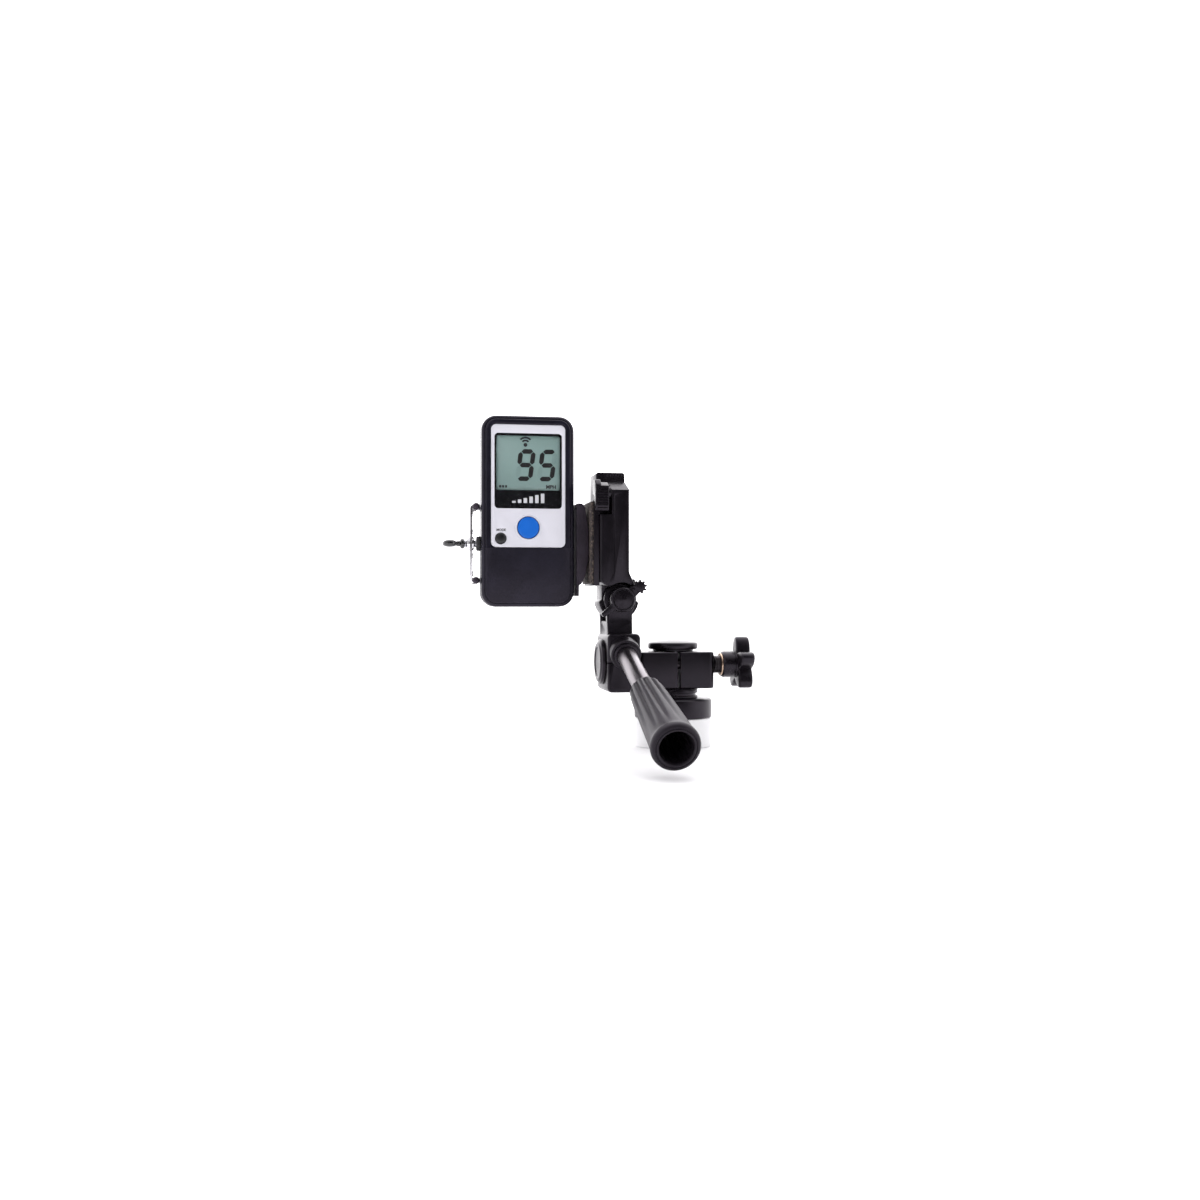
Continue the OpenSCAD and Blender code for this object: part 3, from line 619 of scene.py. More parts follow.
def finish_of(key):
    """The finish of that name, made the first time it is asked for."""
    name = "finish_" + key
    found = bpy.data.materials.get(name)
    if found:
        return found
    unit = bpy.context.scene.radar_unit_looks
    head = bpy.context.scene.radar_head_looks
    shell, plastic = tuple(unit.shell), tuple(head.plastic)
    tint = {"Specular_Tint": (0.93, 0.84, 1.0, 1), "Specular_IOR_Level": 0.3}
    recipes = {
        "shell": lambda: two_grain(name, shell, 0.34, **tint),
        "shell_back": lambda: moulded(name, shell, 0.45, 0.35, 0.02),
        "label": lambda: moulded(name, tuple(unit.label), 0.42, 0.6, 0.002, 0.02),
        "label_ink": lambda: moulded(name, (0.012, 0.012, 0.014), 0.5, 0.4, 0),
        "mask": lambda: moulded(name, (0.006, 0.006, 0.008), 0.16, 0.4, 0, Coat_Weight=0.6),
        "mask_ink": lambda: moulded(name, (0.75, 0.76, 0.8), 0.4, 0.4, 0, 0.02),
        "window": lambda: Paint(name, (0.01, 0.012, 0.012), 0.04, Alpha=0.05),
        "lcd": lambda: liquid_crystal(name, tuple(unit.display)),
        "segment": lambda: moulded(name, (0.005, 0.004, 0.005), 0.5, 0.5, 0, 0.1),
        "ghost": lambda: Paint(name, shade(tuple(unit.display), 0.86), 0.4),
        "blue": lambda: moulded(name, tuple(unit.main_button), 0.45, 0.5, 0.006, 0.05,
                                Specular_IOR_Level=0.3),
        "black_key": lambda: moulded(name, (0.008, 0.008, 0.01), 0.3, 0.5, 0.004),
        "jaw": lambda: moulded(name, shade(plastic, 4), 0.45, 0.5, 0.03, **tint),
        "head": lambda: moulded(name, plastic, 0.3, 0.5, 0.01, **tint),
        "lever": lambda: moulded(name, shade(plastic, 0.85), 0.28, 0.6, 0.012, **tint),
        "knob": lambda: moulded(name, shade(plastic, 1.1), 0.28, 0.5, 0.02, **tint),
        "gloss": lambda: moulded(name, (0.006, 0.006, 0.008), 0.12, 2.0, 0.004, Coat_Weight=0.8),
        "rubber": lambda: rubber(name, (0.016, 0.015, 0.017)),
        "grip": lambda: moulded(name, shade(plastic, 1.5), 0.5, 0.4, 0.015, **tint),
        "cork": lambda: cork(name),
        "chrome": lambda: metal(name, (0.80, 0.79, 0.82), 0.1, (1, 1, 0.2), 0.001),
        "steel": lambda: metal(name, (0.52, 0.52, 0.55), 0.3, (0.15, 1, 1)),
        "screw": lambda: metal(name, (0.30, 0.30, 0.33), 0.34),
        "black_steel": lambda: metal(name, (0.05, 0.045, 0.05), 0.35),
        "rod": lambda: metal(name, (0.135, 0.118, 0.132), 0.3, (1, 0.12, 1)),
        "brass": lambda: metal(name, (0.55, 0.40, 0.30), 0.3),
        "board": lambda: board(name, (0.01, 0.075, 0.035)),
        "chip": lambda: moulded(name, (0.012, 0.012, 0.013), 0.55, 0.4, 0.01),
        "tin": lambda: metal(name, (0.62, 0.62, 0.6), 0.36),
        "carrier": lambda: moulded(name, (0.5, 0.5, 0.5), 0.5, 0.6, 0.01, 0.05),
        "zebra": lambda: rubber(name, (0.35, 0.1, 0.16)),
        "cell": lambda: moulded(name, (0.09, 0.16, 0.04), 0.3, 3, 0, 0.1, Coat_Weight=0.6),
    }
    if key not in recipes:
        raise KeyError("no finish is called " + key)
    return recipes[key]().material


# ---- Settings ----

def colour_setting(label, text, default):
    return bpy.props.FloatVectorProperty(
        name=label, description=text, subtype="COLOR", size=3, min=0, max=1, default=default
    )


class RadarUnitLooks(bpy.types.PropertyGroup):
    """Looks of the radar unit."""

    shell: colour_setting("Shell", "Colour of both housings", (0.0095, 0.0090, 0.0155))
    label: colour_setting("Label", "Colour of the face label", (0.74, 0.735, 0.80))
    display: colour_setting("Display", "Colour of the display's field", (0.28, 0.41, 0.39))
    main_button: colour_setting("Main button", "Colour of the button", (0.001, 0.13, 0.60))
    reading: bpy.props.IntProperty(
        name="Reading", description="Speed shown on the display", min=0, max=99, default=95
    )
    edge: bpy.props.FloatProperty(
        name="Small edges", description="Radius of the unit's small edges, in millimetres",
        min=0.05, max=0.4, default=0.15,
    )


class RadarHeadLooks(bpy.types.PropertyGroup):
    """Looks of the clamp and the pan and tilt head."""

    plastic: colour_setting("Plastic", "Colour of the head's plastic", (0.0062, 0.0050, 0.0068))
    edge: bpy.props.FloatProperty(
        name="Edges", description="Radius of the head's moulded edges, in millimetres",
        min=0.2, max=2, default=1.1,
    )
    grip_ribs: bpy.props.IntProperty(
        name="Grip ribs", description="Ribs along the handle's grip", min=4, max=24, default=12
    )
    knob_lobes: bpy.props.IntProperty(
        name="Knob lobes", description="Lobes of the pan lock knob", min=3, max=8, default=5
    )
    lever_teeth: bpy.props.IntProperty(
        name="Lever teeth", description="Teeth round the flip lever's tip", min=6, max=16, default=9
    )
    thread_pitch: bpy.props.FloatProperty(
        name="Thread pitch", description="Pitch of the clamp screw, in millimetres",
        min=0.5, max=1.5, default=0.8,
    )


class RadarStageLooks(bpy.types.PropertyGroup):
    """The floor, the light and the camera."""

    floor: colour_setting("Floor", "Colour of the floor", (0.86, 0.86, 0.87))
    surround: bpy.props.FloatProperty(
        name="Surround", description="Brightness of the white surround", min=0, max=3, default=1.6
    )
    front: bpy.props.FloatProperty(
        name="Front", description="Brightness of the room behind the camera",
        min=0, max=2, default=0.05,
    )
    above: bpy.props.FloatProperty(
        name="Above", description="Extra brightness above and behind the object",
        min=0, max=10, default=1.7,
    )
    key: bpy.props.FloatProperty(
        name="Key", description="Power of the side lights, in watts", min=0, max=100, default=0.9
    )
    lens: bpy.props.FloatProperty(
        name="Lens", description="Focal length of the camera", subtype="DISTANCE_CAMERA",
        min=10, max=200, default=38.58,
    )


# ---- Radar unit ----

def unit_loops(levels):
    """Loops of rounded rectangles, each level a shape and its depth."""
    return [[(x, y, z) for x, z in rectangle(w, h, r, c)] for (w, h, r, c), y in levels]


def housing(name, levels):
    """Half a housing as one closed skin through its levels."""
    return loft(name, unit_loops(levels), closed=True, at=UNIT_AT)


def build_front_housing():
    outline = (UNIT_W, UNIT_H, UNIT_R, MID_Z)
    levels = [(inset(outline, 2.2), -0.15), (inset(outline, 0.35), -0.15),
              (inset(outline, 0.08), -0.4), (inset(outline, 0), -0.9), (inset(outline, 0.1), -6.6)]
    levels += [
        (inset(outline, 2.5 - x), -6.9 - y) for x, y in arc(0, 0, 2.35, 8, 78, 7)
    ]
    levels += [(inset(outline, 2.18), -9.0), (inset(outline, 2.5), -9.0),
               (inset(outline, 2.58), -9.5), (inset(outline, 2.8), -9.82),
               (inset(outline, 3.25), FACE_Y)]
    recess = (46.8, 76.6, 3.4, LABEL[3])
    seat = (42.2, 46.8, 2.4, WINDOW[3])
    view = (40.1, 34.2, 1.0, VIEW[3])
    levels += [(inset(recess, -0.18), FACE_Y), (inset(recess, -0.04), -9.93), (recess, -9.8),
               (recess, RECESS_Y), (seat, RECESS_Y), (seat, SEAT_Y), (view, SEAT_Y),
               (view, -7.8), (inset(outline, WALL), -7.8)]
    front = housing("front_shell", levels)
    posts = [lathe("post", turned(2.6, -8.4, -0.2, 0.1), UNIT_AT + Vector((x, 0, z)), (0, 1, 0), 32)
             for x, z in SCREWS]
    combine(front, posts, "UNION")
    holes = [lathe("hole", [(-12, 0), (-12, r + 0.25), (-7, r + 0.25), (-7, 0)],
                   UNIT_AT + Vector((x, 0, z)), (0, 1, 0), 64)
             for (x, z), r in ((MAIN_AT, MAIN_R), (MODE_AT, MODE_R))]
    combine(front, holes)
    finish_piece(front, "clamped_unit", "housing_plastic", "shell", "front_housing")


def build_back_housing():
    outline = (UNIT_W, UNIT_H, UNIT_R, MID_Z)
    levels = [(inset(outline, 2.2), 0.15), (inset(outline, 0.35), 0.15),
              (inset(outline, 0.08), 0.4), (inset(outline, 0), 0.9), (inset(outline, 0.1), 6.6)]
    levels += [(inset(outline, 3.1 - x), 7.3 + y) for x, y in arc(0, 0, 2.98, 10, 82, 8)]
    levels += [(inset(outline, 3.1), BACK_Y)]
    cover = (44.0, 44.0, 2.0, RADOME[3])
    opening = (39.6, 39.6, 2.0, RADOME[3])
    levels += [(inset(cover, -0.15), BACK_Y), (cover, 10.15), (cover, 8.8), (opening, 8.8),
               (opening, 8.1), (inset(outline, WALL), 8.1)]
    back = housing("back_shell", levels)
    posts = [lathe("post", turned(3, 0.2, 8.4, 0.1), UNIT_AT + Vector((x, 0, z)), (0, 1, 0), 32)
             for x, z in SCREWS]
    ribs = [box("rib", (x, 0.2, 2.1), (x + 1.2, 8.3, 51), UNIT_AT) for x in (-14.2, 13)]
    combine(back, posts + ribs, "UNION")
    cuts = [box("cut", (-19.2, 8.4, -1), (19.2, 11, 48.2), UNIT_AT),
            box("cut", (-20.4, 8.75, -1), (20.4, 9.75, 48.2), UNIT_AT),
            box("cut", (-12.9, 7.5, 3.2), (12.9, 9, 47.9), UNIT_AT)]
    cuts += [prism("cut", rectangle(9, 1.6, 0.5, x=s * 5.7, z=3.4, steps=4), "Z", -1, 1.2, UNIT_AT)
             for s in (-1, 1)]
    for x, z in SCREWS:
        bore = [(-1, 0), (-1, 1.3), (8.3, 1.3), (8.3, 2.5), (10.1, 2.5), (10.4, 2.8), (10.4, 0)]
        cuts.append(lathe("cut", bore, UNIT_AT + Vector((x, 0, z)), (0, 1, 0), 40))
    combine(back, cuts)
    finish_piece(back, "clamped_unit", "housing_plastic", "shell_back", "back_housing")


def build_back_details():
    looks = bpy.context.scene.radar_unit_looks
    outline = rounded([(8.65, 1.35, 0.2), (10.0, 1.35, 1.3), (10.1, 3, 0), (10.1, 47.9, 0.25),
                       (8.65, 47.9, 0.2)], 5)
    door = prism("battery_cover_shell", outline, "X", -18.9, 18.9, UNIT_AT)
    soften(door, looks.edge, 2, 50)
    tongue = box("tongue", (-20.2, 8.9, 3), (20.2, 9.6, 45), UNIT_AT)
    combine(door, [tongue], "UNION")
    groove = prism("groove", rectangle(18, 1.3, 0.6, z=36.8, steps=5), "Y", 9.6, 11, UNIT_AT)
    combine(door, [repeat(groove, 4, (0, 0, 2.6))])
    finish_piece(door, "battery_cover", "housing_plastic", "shell_back", "battery_door")

    levels = [(inset(RADOME, 0.1), 8.85), (RADOME, 9), (RADOME, 10.0), (inset(RADOME, 0.1), 10.2),
              (inset(RADOME, 0.4), 10.3), (inset(RADOME, 3), 10.3), (inset(RADOME, 3.3), 10.05),
              (inset(RADOME, 3.9), 10.05), (inset(RADOME, 4.2), 10.3)]
    radome = loft("radome_cover", unit_loops(levels), at=UNIT_AT)
    finish_piece(radome, "clamped_unit", "radome_plastic", "shell_back", "radome")

    screw = softened("housing_screws", 0.12, 2, 50)
    finish_piece(screw, "clamped_unit", "screw", "screw", "housing_screws")


def segment_bar(a, b, t):
    """A bar between two points with pointed, slightly rounded ends."""
    a, b = Vector(a), Vector(b)
    along = (b - a).normalized() * t
    side = Vector((-along.y, along.x))
    outline = [a, a + along - side, b - along - side, b, b - along + side, a + along + side]
    return rounded([(p.x, p.y, 0.35) for p in outline], 3)


def digit(name, lit, x, z, depth):
    """The bars of one leaning digit, as one object, or nothing."""
    w, h, t = 7.9, 17.0, 1.42
    gap = 0.25
    ends = {
        "0": ((gap, h), (w - gap, h)), "1": ((w, h / 2 + gap), (w, h - gap)),
        "2": ((w, gap), (w, h / 2 - gap)), "3": ((gap, 0), (w - gap, 0)),
        "4": ((0, gap), (0, h / 2 - gap)), "5": ((0, h / 2 + gap), (0, h - gap)),
        "6": ((gap, h / 2), (w - gap, h / 2)),
    }
    lean = math.tan(math.radians(7.5))
    bars = []
    for k in lit:
        outline = [(x + p + q * lean, z + q) for p, q in segment_bar(*ends[k], t)]
        bars.append(prism(name, outline, "Y", LCD_Y - depth, LCD_Y - 0.005, UNIT_AT))
    return join(*bars) if bars else None


def build_display():
    looks = bpy.context.scene.radar_unit_looks
    label = prism("label_plate", rectangle(LABEL[0], LABEL[1], 3.2, LABEL[3], steps=10), "Y",
                  LABEL_Y, RECESS_Y - 0.005, UNIT_AT)
    cuts = [prism("cut", rectangle(42.2, 46.8, 2.4, WINDOW[3]), "Y", -11, -8, UNIT_AT)]
    cuts += [lathe("cut", [(-12, 0), (-12, r + 0.4), (-8, r + 0.4), (-8, 0)],
                   UNIT_AT + Vector((x, 0, z)), (0, 1, 0), 80)
             for (x, z), r in ((MAIN_AT, MAIN_R), (MODE_AT, MODE_R))]
    combine(label, cuts)
    soften(label, 0.12, 2, 50)
    finish_piece(label, "clamped_unit", "label", "label", "face_label")

    ring = lathe("button_ring", [(-9.68, 7.1), (-10.0, 7.15), (-10.1, 7.3), (-10.08, 7.7),
                                 (-9.9, 8.0), (-9.68, 8.1)],
                 UNIT_AT + Vector((MAIN_AT[0], 0, MAIN_AT[1])), (0, 1, 0), 96)
    finish_piece(ring, "clamped_unit", "label", "label")
    words = lettering("mode_mark", "MODE", 1.5, -19.9, 47.2, LABEL_Y - 0.012)
    finish_piece(words, "clamped_unit", "label", "label_ink")

    levels = [(inset(WINDOW, 0.1), SEAT_Y - 0.35), (WINDOW, SEAT_Y - 0.4), (WINDOW, -9.75),
              (inset(WINDOW, 0.08), -9.87), (inset(WINDOW, 0.25), -9.9)]
    glass = loft("window_pane", unit_loops(levels), at=UNIT_AT)
    finish_piece(glass, "clamped_unit", "window", "window", "display_window")
    hole = VIEW
    levels = [(WINDOW, SEAT_Y - 0.02), (WINDOW, SEAT_Y - 0.3), (hole, SEAT_Y - 0.3),
              (hole, SEAT_Y - 0.02)]
    mask = loft("window_mask", unit_loops(levels), closed=True, at=UNIT_AT)
    finish_piece(mask, "clamped_unit", "window", "mask")
    marks = [prism("bar", rounded([(x - 1.1, 64.8, 0.2), (x + 1.1, 64.8, 0.2),
                                   (x + 1.1, 64.8 + h, 0.2), (x - 1.1, 64.8 + h, 0.2)], 3),
                   "Y", SEAT_Y - 0.33, SEAT_Y - 0.3, UNIT_AT)
             for x, h in [(-9 + 3.6 * k, 1.2 + 0.95 * k) for k in range(6)]]
    finish_piece(join(*marks), "clamped_unit", "window", "mask_ink").name = "level_bars"

    panel = softened("lcd_panel", 0.15, 2, 50)
    finish_piece(panel, "clamped_unit", "lcd", "lcd", "lcd_panel")
    tens, ones = divmod(looks.reading, 10)
    lit = [digit("bars", FIGURES[n], x, 80, 0.08) for n, x in ((tens, -6.6), (ones, 7))]
    dark = [digit("bars", "0123456", x, 80, 0.02) for x in (-6.6, 7)]
    centre = (-1.6, 101.1)
    icon = [prism("dot", arc(*centre, 1.2, 0, 345, 23), "Y", LCD_Y - 0.08, LCD_Y, UNIT_AT)]
    for r in (2.2, 4.0):
        band = arc(*centre, r, 45, 135, 12) + arc(*centre, r + 1.05, 135, 45, 12)
        icon.append(prism("wave", band, "Y", LCD_Y - 0.08, LCD_Y, UNIT_AT))
    unit = lettering("unit_mark", "MPH", 2.3, 11.3, 74.0, LCD_Y - 0.06)
    small = [prism("cell", rounded([(x, 74.3, 0.1), (x + 1.3, 74.3, 0.1), (x + 1.3, 75.8, 0.1),
                                    (x, 75.8, 0.1)], 2), "Y", LCD_Y - 0.08, LCD_Y, UNIT_AT)
             for x in (-18, -16.2, -14.4)]
    shown = join(*[d for d in lit if d], *icon, unit, *small)
    shown.name = "display_figures"
    finish_piece(shown, "clamped_unit", "segments", "segment", "lcd_segments")
    faint = join(*dark)
    faint.name = "display_ghosts"
    finish_piece(faint, "clamped_unit", "segments", "ghost")


def build_buttons():
    profile = [(-6.1, 0), (-6.1, 1.5), (-6.7, 1.5), (-6.7, MAIN_R + 1.1), (-7.5, MAIN_R + 1.1),
               (-7.5, MAIN_R), (-10.3, MAIN_R - 0.05), (-10.7, MAIN_R - 0.2),
               (-10.93, MAIN_R - 0.55), (-11.0, MAIN_R - 1.1), (-10.97, 4), (-10.9, 2), (-10.88, 0)]
    cap = lathe("measure_button", profile, UNIT_AT + Vector((MAIN_AT[0], 0, MAIN_AT[1])), (0, 1, 0))
    finish_piece(cap, "main_key", "blue_key", "blue", "main_button")
    profile = [(-6.1, 0), (-6.1, 1.5), (-6.7, 1.5), (-6.7, MODE_R + 1.1), (-7.5, MODE_R + 1.1),
               (-7.5, MODE_R), (-10.0, MODE_R - 0.05), (-10.35, MODE_R - 0.25),
               (-10.55, MODE_R - 0.7), (-10.68, 1.6), (-10.7, 0)]
    at = UNIT_AT + Vector((MODE_AT[0], 0, MODE_AT[1]))
    cap = lathe("mode_key_cap", profile, at, (0, 1, 0), 64)
    finish_piece(cap, "mode_key", "black_key", "black_key", "mode_button")


def build_inside():
    paint_nodes("carrier", "lcd_carrier")
    paint_nodes("zebra", "zebra_strips")
    paint_nodes("board", "main_board", "antenna_board")
    paint_nodes("chip", "board_chips")
    paint_nodes("brass", "board_header", "jaw_insert", "tripod_insert")
    paint_nodes("steel", "dome_switches", "battery_springs", "battery_contacts", "tilt_shaft",
                "spindle")
    paint_nodes("screw", "latch_spring", "latch_pin")
    can = softened("shield_can", 0.12, 2, 50)
    finish_piece(can, "clamped_unit", "tin", "tin", "shield_can")
    cells = softened("batteries", 0.35, 3, 50)
    finish_piece(cells, "clamped_unit", "cell", "cell", "batteries")


# ---- Clamp ----

def build_jaw():
    # lens-shaped from the front, with a thin foot below
    outline = rounded([(-63.95, 77.2, 0.4), (-62.5, 77.2, 0.5), (-62.4, 84, 0.8), (-60.9, 84.8, 2),
                       (-58.6, 90, 8), (-56.35, 101, 14), (-56.35, 118, 14), (-58.7, 133.4, 2.5),
                       (-60.6, 135.4, 2), (-63.95, 135.4, 0.8)], 8)
    jaw = prism("jaw_body", outline, "Y", -10, 17.5)
    soften(jaw, 0.8, 3, 40)
    cuts = [lathe("cut", turned(5.03, -62.3, -50, 0.05), (0, 0, CLAMP_Z), (1, 0, 0), 64)]
    cuts += [lathe("cut", turned(1.25, -70, -61.4, 0.05), (0, ROD_Y, CLAMP_Z + s * ROD_OFFSET),
                   (1, 0, 0), 32) for s in (-1, 1)]
    combine(jaw, cuts)
    finish_piece(jaw, "clamped_unit", "clamp_plastic", "jaw", "clamp_jaw")
    pad = softened("jaw_pad", 0.35, 3)
    finish_piece(pad, "clamped_unit", "clamp_rubber", "rubber", "jaw_pad")


def build_rods():
    rods, sleeves, brackets = [], [], []
    for side in (-1, 1):
        at = (0, ROD_Y, CLAMP_Z + side * ROD_OFFSET)
        rods.append(lathe("rod", turned(1.2, -127.4, -61.5, 0.3), at, (1, 0, 0), 40))
        rings = [(-118, 1.2), (-118, 2.3), (-117.7, 2.6)]
        for k in range(15):
            start = -117 + 3.1 * k
            rings += [(start, 2.6), (start + 0.3, 2.35), (start + 0.7, 2.35), (start + 1, 2.6)]
        rings += [(-70.3, 2.6), (-70, 2.3), (-70, 1.2)]
        sleeves.append(lathe("sleeve", rings, at, (1, 0, 0), 40))
        ball = [(-4.9 + y, x) for x, y in arc(0, 0, 2.3, -90, 40, 9)]
        ball += [(y, 1.8) for y in (-2.4, 0, 6, 10)]
        tail = [(15.4 - 2.2 + y, x) for x, y in arc(0, 0, 2.2, -50, 90, 9)]
        brackets.append(lathe("bracket", [(-7.2, 0), *ball[1:], *tail[:-1], (15.4, 0)],
                              (-126.5, 0, CLAMP_Z + side * ROD_OFFSET), (0, 1, 0), 48))
    finish_piece(join(*rods), "clamped_unit", "rod_steel", "steel",
                 "guide_rods").name = "slide_rods"
    finish_piece(join(*sleeves), "clamped_unit", "clamp_rubber", "rubber",
                 "rod_sleeves").name = "rod_grips"
    finish_piece(join(*brackets), "clamped_unit", "clamp_plastic", "jaw",
                 "end_brackets").name = "bracket_bars"


def build_strap():
    half, thick = 24.6, 1.4
    x = -130.2
    # the strap's edge, seen from the front: flat, with its ends bent in towards the brackets
    outline = [(x, 0), (x, half - 2.6)]
    outline += [(x + 2.6 - 2.6 * math.cos(math.radians(a)),
                 half - 2.6 + 2.6 * math.sin(math.radians(a))) for a in range(15, 91, 15)]
    outline += [(x + 3.0, half), (x + 3.0, half - thick)]
    outline += [(x + 2.6 - 1.2 * math.cos(math.radians(a)),
                 half - 2.6 + 1.2 * math.sin(math.radians(a))) for a in range(90, -1, -15)]
    outline += [(x + thick, 0)]
    whole = outline + [(px, -pz) for px, pz in reversed(outline)]
    strap = prism("strap_bar", [(px, pz + CLAMP_Z) for px, pz in whole], "Y", -4, 4)
    soften(strap, 0.3, 3, 40)
    hole = lathe("cut", turned(3.05, -132, -127, 0.05), (0, 0, CLAMP_Z), (1, 0, 0), 48)
    combine(strap, [hole])
    rivets = []
    for side in (-1, 1):
        for z, r, tall in ((18.6, 1.7, 0.55), (7.4, 1.5, 0.45)):
            head = [(x + 0.1, 0), (x + 0.1, r), (x - 0.1, r)]
            head += [(x - tall * math.sin(math.radians(a)), r * math.cos(math.radians(a)))
                     for a in (20, 40, 60, 80)] + [(x - tall, 0)]
            rivets.append(lathe("rivet", head, (0, 0, CLAMP_Z + side * z), (1, 0, 0), 32))
            rivets.append(lathe("rivet", turned(r + 0.3, x + thick - 0.1, x + thick + 0.7, 0.25),
                                (0, 0, CLAMP_Z + side * z), (1, 0, 0), 32))
    finish_piece(join(strap, *rivets), "clamped_unit", "chrome", "chrome", "bridge_strap")

    # a collar on each side of the strap, bored for the screw
    profile = [(-132.2, 2.45), (-132.2, 4.1), (-131.9, 4.6), (-131.4, 4.8), (-130.25, 4.8),
               (-130.22, 3.0), (-128.78, 3.0), (-128.75, 4.6), (-128.1, 4.6), (-127.75, 4.3),
               (-127.6, 3.8), (-127.6, 2.45)]

    def flats(t, angle, r):
        """Six flats on the outer collar."""
        flat = 4.55 / math.cos(angle % (math.pi / 3) - math.pi / 6)
        return min(r, flat) if t < -130.2 and r > 4 else r

    nut = lathe("strap_nut", profile, (0, 0, CLAMP_Z), (1, 0, 0), 96, flats)
    finish_piece(nut, "clamped_unit", "chrome", "chrome", "clamp_nut")


def build_screw():
    looks = bpy.context.scene.radar_head_looks
    pitch = looks.thread_pitch

    def thread(t, angle, r):
        if r < 2.3 or not -134.6 < t < -126.6:
            return r
        turn = (t / pitch + angle / (2 * math.pi)) % 1
        return r - 0.32 * abs(2 * turn - 1)

    profile = [(-135.6, 0), (-135.6, 2.35)]
    profile += [(-135.4 + pitch / 8 * k, 2.4) for k in range(int(9.1 / (pitch / 8)))]
    profile += [(-126.25, 2.4), (-126.2, 2.2), (-126.2, 1.5), (-124.9, 1.5), (-124.8, 1.3),
                (-124.8, 0)]
    screw = lathe("clamp_thread", profile, (0, 0, CLAMP_Z), (1, 0, 0), 64, thread)
    finish_piece(screw, "clamp_drive", "stem_steel", "steel", "clamp_screw")

    profile = [(LEFT_X - 2.4, 1.55), (LEFT_X - 2.4, 4.1), (LEFT_X - 2.2, 4.45), (LEFT_X - 1.9, 4.6),
               (LEFT_X - 0.5, 4.6), (LEFT_X - 0.15, 4.4), (LEFT_X - 0.02, 4.1),
               (LEFT_X - 0.02, 1.55)]
    pad = lathe("foot_pad", profile, (0, 0, CLAMP_Z), (1, 0, 0))
    plug = lathe("plug", turned(1.56, LEFT_X - 1.15, LEFT_X - 0.02, 0.05), (0, 0, CLAMP_Z),
                 (1, 0, 0), 40)
    finish_piece(join(pad, plug), "clamp_foot", "clamp_rubber", "rubber", "pressure_pad")

    # thumb paddle: a rounded lens with a dished middle, waisted where it meets its stem
    loops = []
    for s in [math.sin(math.radians(a)) for a in range(-90, 91, 9)]:
        half = 7.7 * s
        thick = math.sqrt(max(1 - s * s, 0.0)) if abs(s) > 0.999 else (1 - abs(s) ** 6) ** 0.5
        width = 4.7 * (1 - abs(s) ** 3.2) ** 0.5
        loop = []
        for k in range(40):
            a = 2 * math.pi * k / 40
            c, d = math.cos(a), math.sin(a)
            dish = 0.75 * math.exp(-(c * width / 2.6) ** 2) * max(1 - (half / 5.6) ** 2, 0)
            rise = 2.5 * thick * (abs(d) ** 0.7) - dish
            loop.append((-142.6 + width * math.copysign(abs(c) ** 0.85, c), half,
                         math.copysign(max(rise, 0), d)))
        loops.append(loop)
    paddle = loft("thumb_paddle", loops[1:-1], at=(0, 0, CLAMP_Z))
    stem = [(-140.5, 0), (-140.5, 2.1), (-138.4, 2.0), (-137.6, 1.75), (-136.4, 1.9),
            (-136.0, 2.6), (-135.7, 3.1), (-135.3, 3.3), (-134.1, 3.3), (-133.8, 3.1),
            (-133.6, 2.8), (-133.6, 0)]
    collar = lathe("collar", stem, (0, 0, CLAMP_Z), (1, 0, 0), 64)
    combine(paddle, [collar], "UNION")
    finish_piece(paddle, "clamp_drive", "paddle_gloss", "gloss", "screw_handle", smooth=50)


# ---- Platform ----

def build_platform():
    looks = bpy.context.scene.radar_head_looks
    edge = looks.edge
    outline = [(-50.7, 86, 1), (-46, 83.2, 2), (-28.2, 83.2, 1), (-32.3, 92, 6),
               (-32.3, 155.5, 1.6), (-50.7, 155.5, 1.6)]
    body = prism("platform_shell", rounded(outline, 6), "Y", -20, 20)
    soften(body, edge, 4, 40)
    lug = prism("lug", rounded([(-48, 88, 0), (-48, 75, 0), *[
        (FLIP_X + x, FLIP_Z + z, 0) for x, z in arc(0, 0, 12.8, 185, 352, 26)
    ], (-26.5, 75, 0), (-26.5, 88, 0)]), "Y", -9.5, 9.5)
    soften(lug, 0.6, 3, 40)
    combine(body, [lug], "UNION")
    wedge = [(-22, 142.6), (-4, 149.6), (-4, 153.4), (-3.2, 157), (-22, 157)]
    cuts = [prism("cut", wedge, "X", -52, -31),
            box("cut", (-51.5, -22, 128), (-43.4, -10.9, 158)),
            box("cut", (-51.5, -15.3, 87.7), (-47.8, 15.3, 134.3)),
            lathe("cut", turned(3.05, -12, 12, 0.05), (FLIP_X, 0, FLIP_Z), (0, 1, 0), 48),
            lathe("cut", turned(2.3, -44.5, -41.6, 0.05), LATCH_AT, (1, 0, 0), 40),
            prism("cut", rectangle(0.7, 48, 0.3, 116, -41.7, 4), "Y", -21, -19.7)]
    cuts += [lathe("cut", turned(10.8, y, y + 14, 0.05), (FLIP_X, 0, FLIP_Z), (0, 1, 0), 96)
             for y in (9.5, -23.5)]
    combine(body, cuts)
    notch = prism("notch", rectangle(0.9, 3.4, 0.3, 152.8, -43, 3), "Y", -5, -3.5)
    combine(body, [repeat(notch, 6, (1.8, 0, 0))])
    soften(body, 0.18, 2, 45)
    finish_piece(body, "platform", "head_plastic", "head", "platform_body")

    plate = softened("quick_plate", 0.5, 3)
    finish_piece(plate, "platform", "head_plastic", "head", "quick_plate")
    pad = softened("cork_pad", 0.3, 2)
    finish_piece(pad, "platform", "cork", "cork", "cork_pad")
    screw = softened("camera_screw", 0.3, 2, 50)
    finish_piece(screw, "platform", "camera_screw_steel", "screw", "camera_screw")


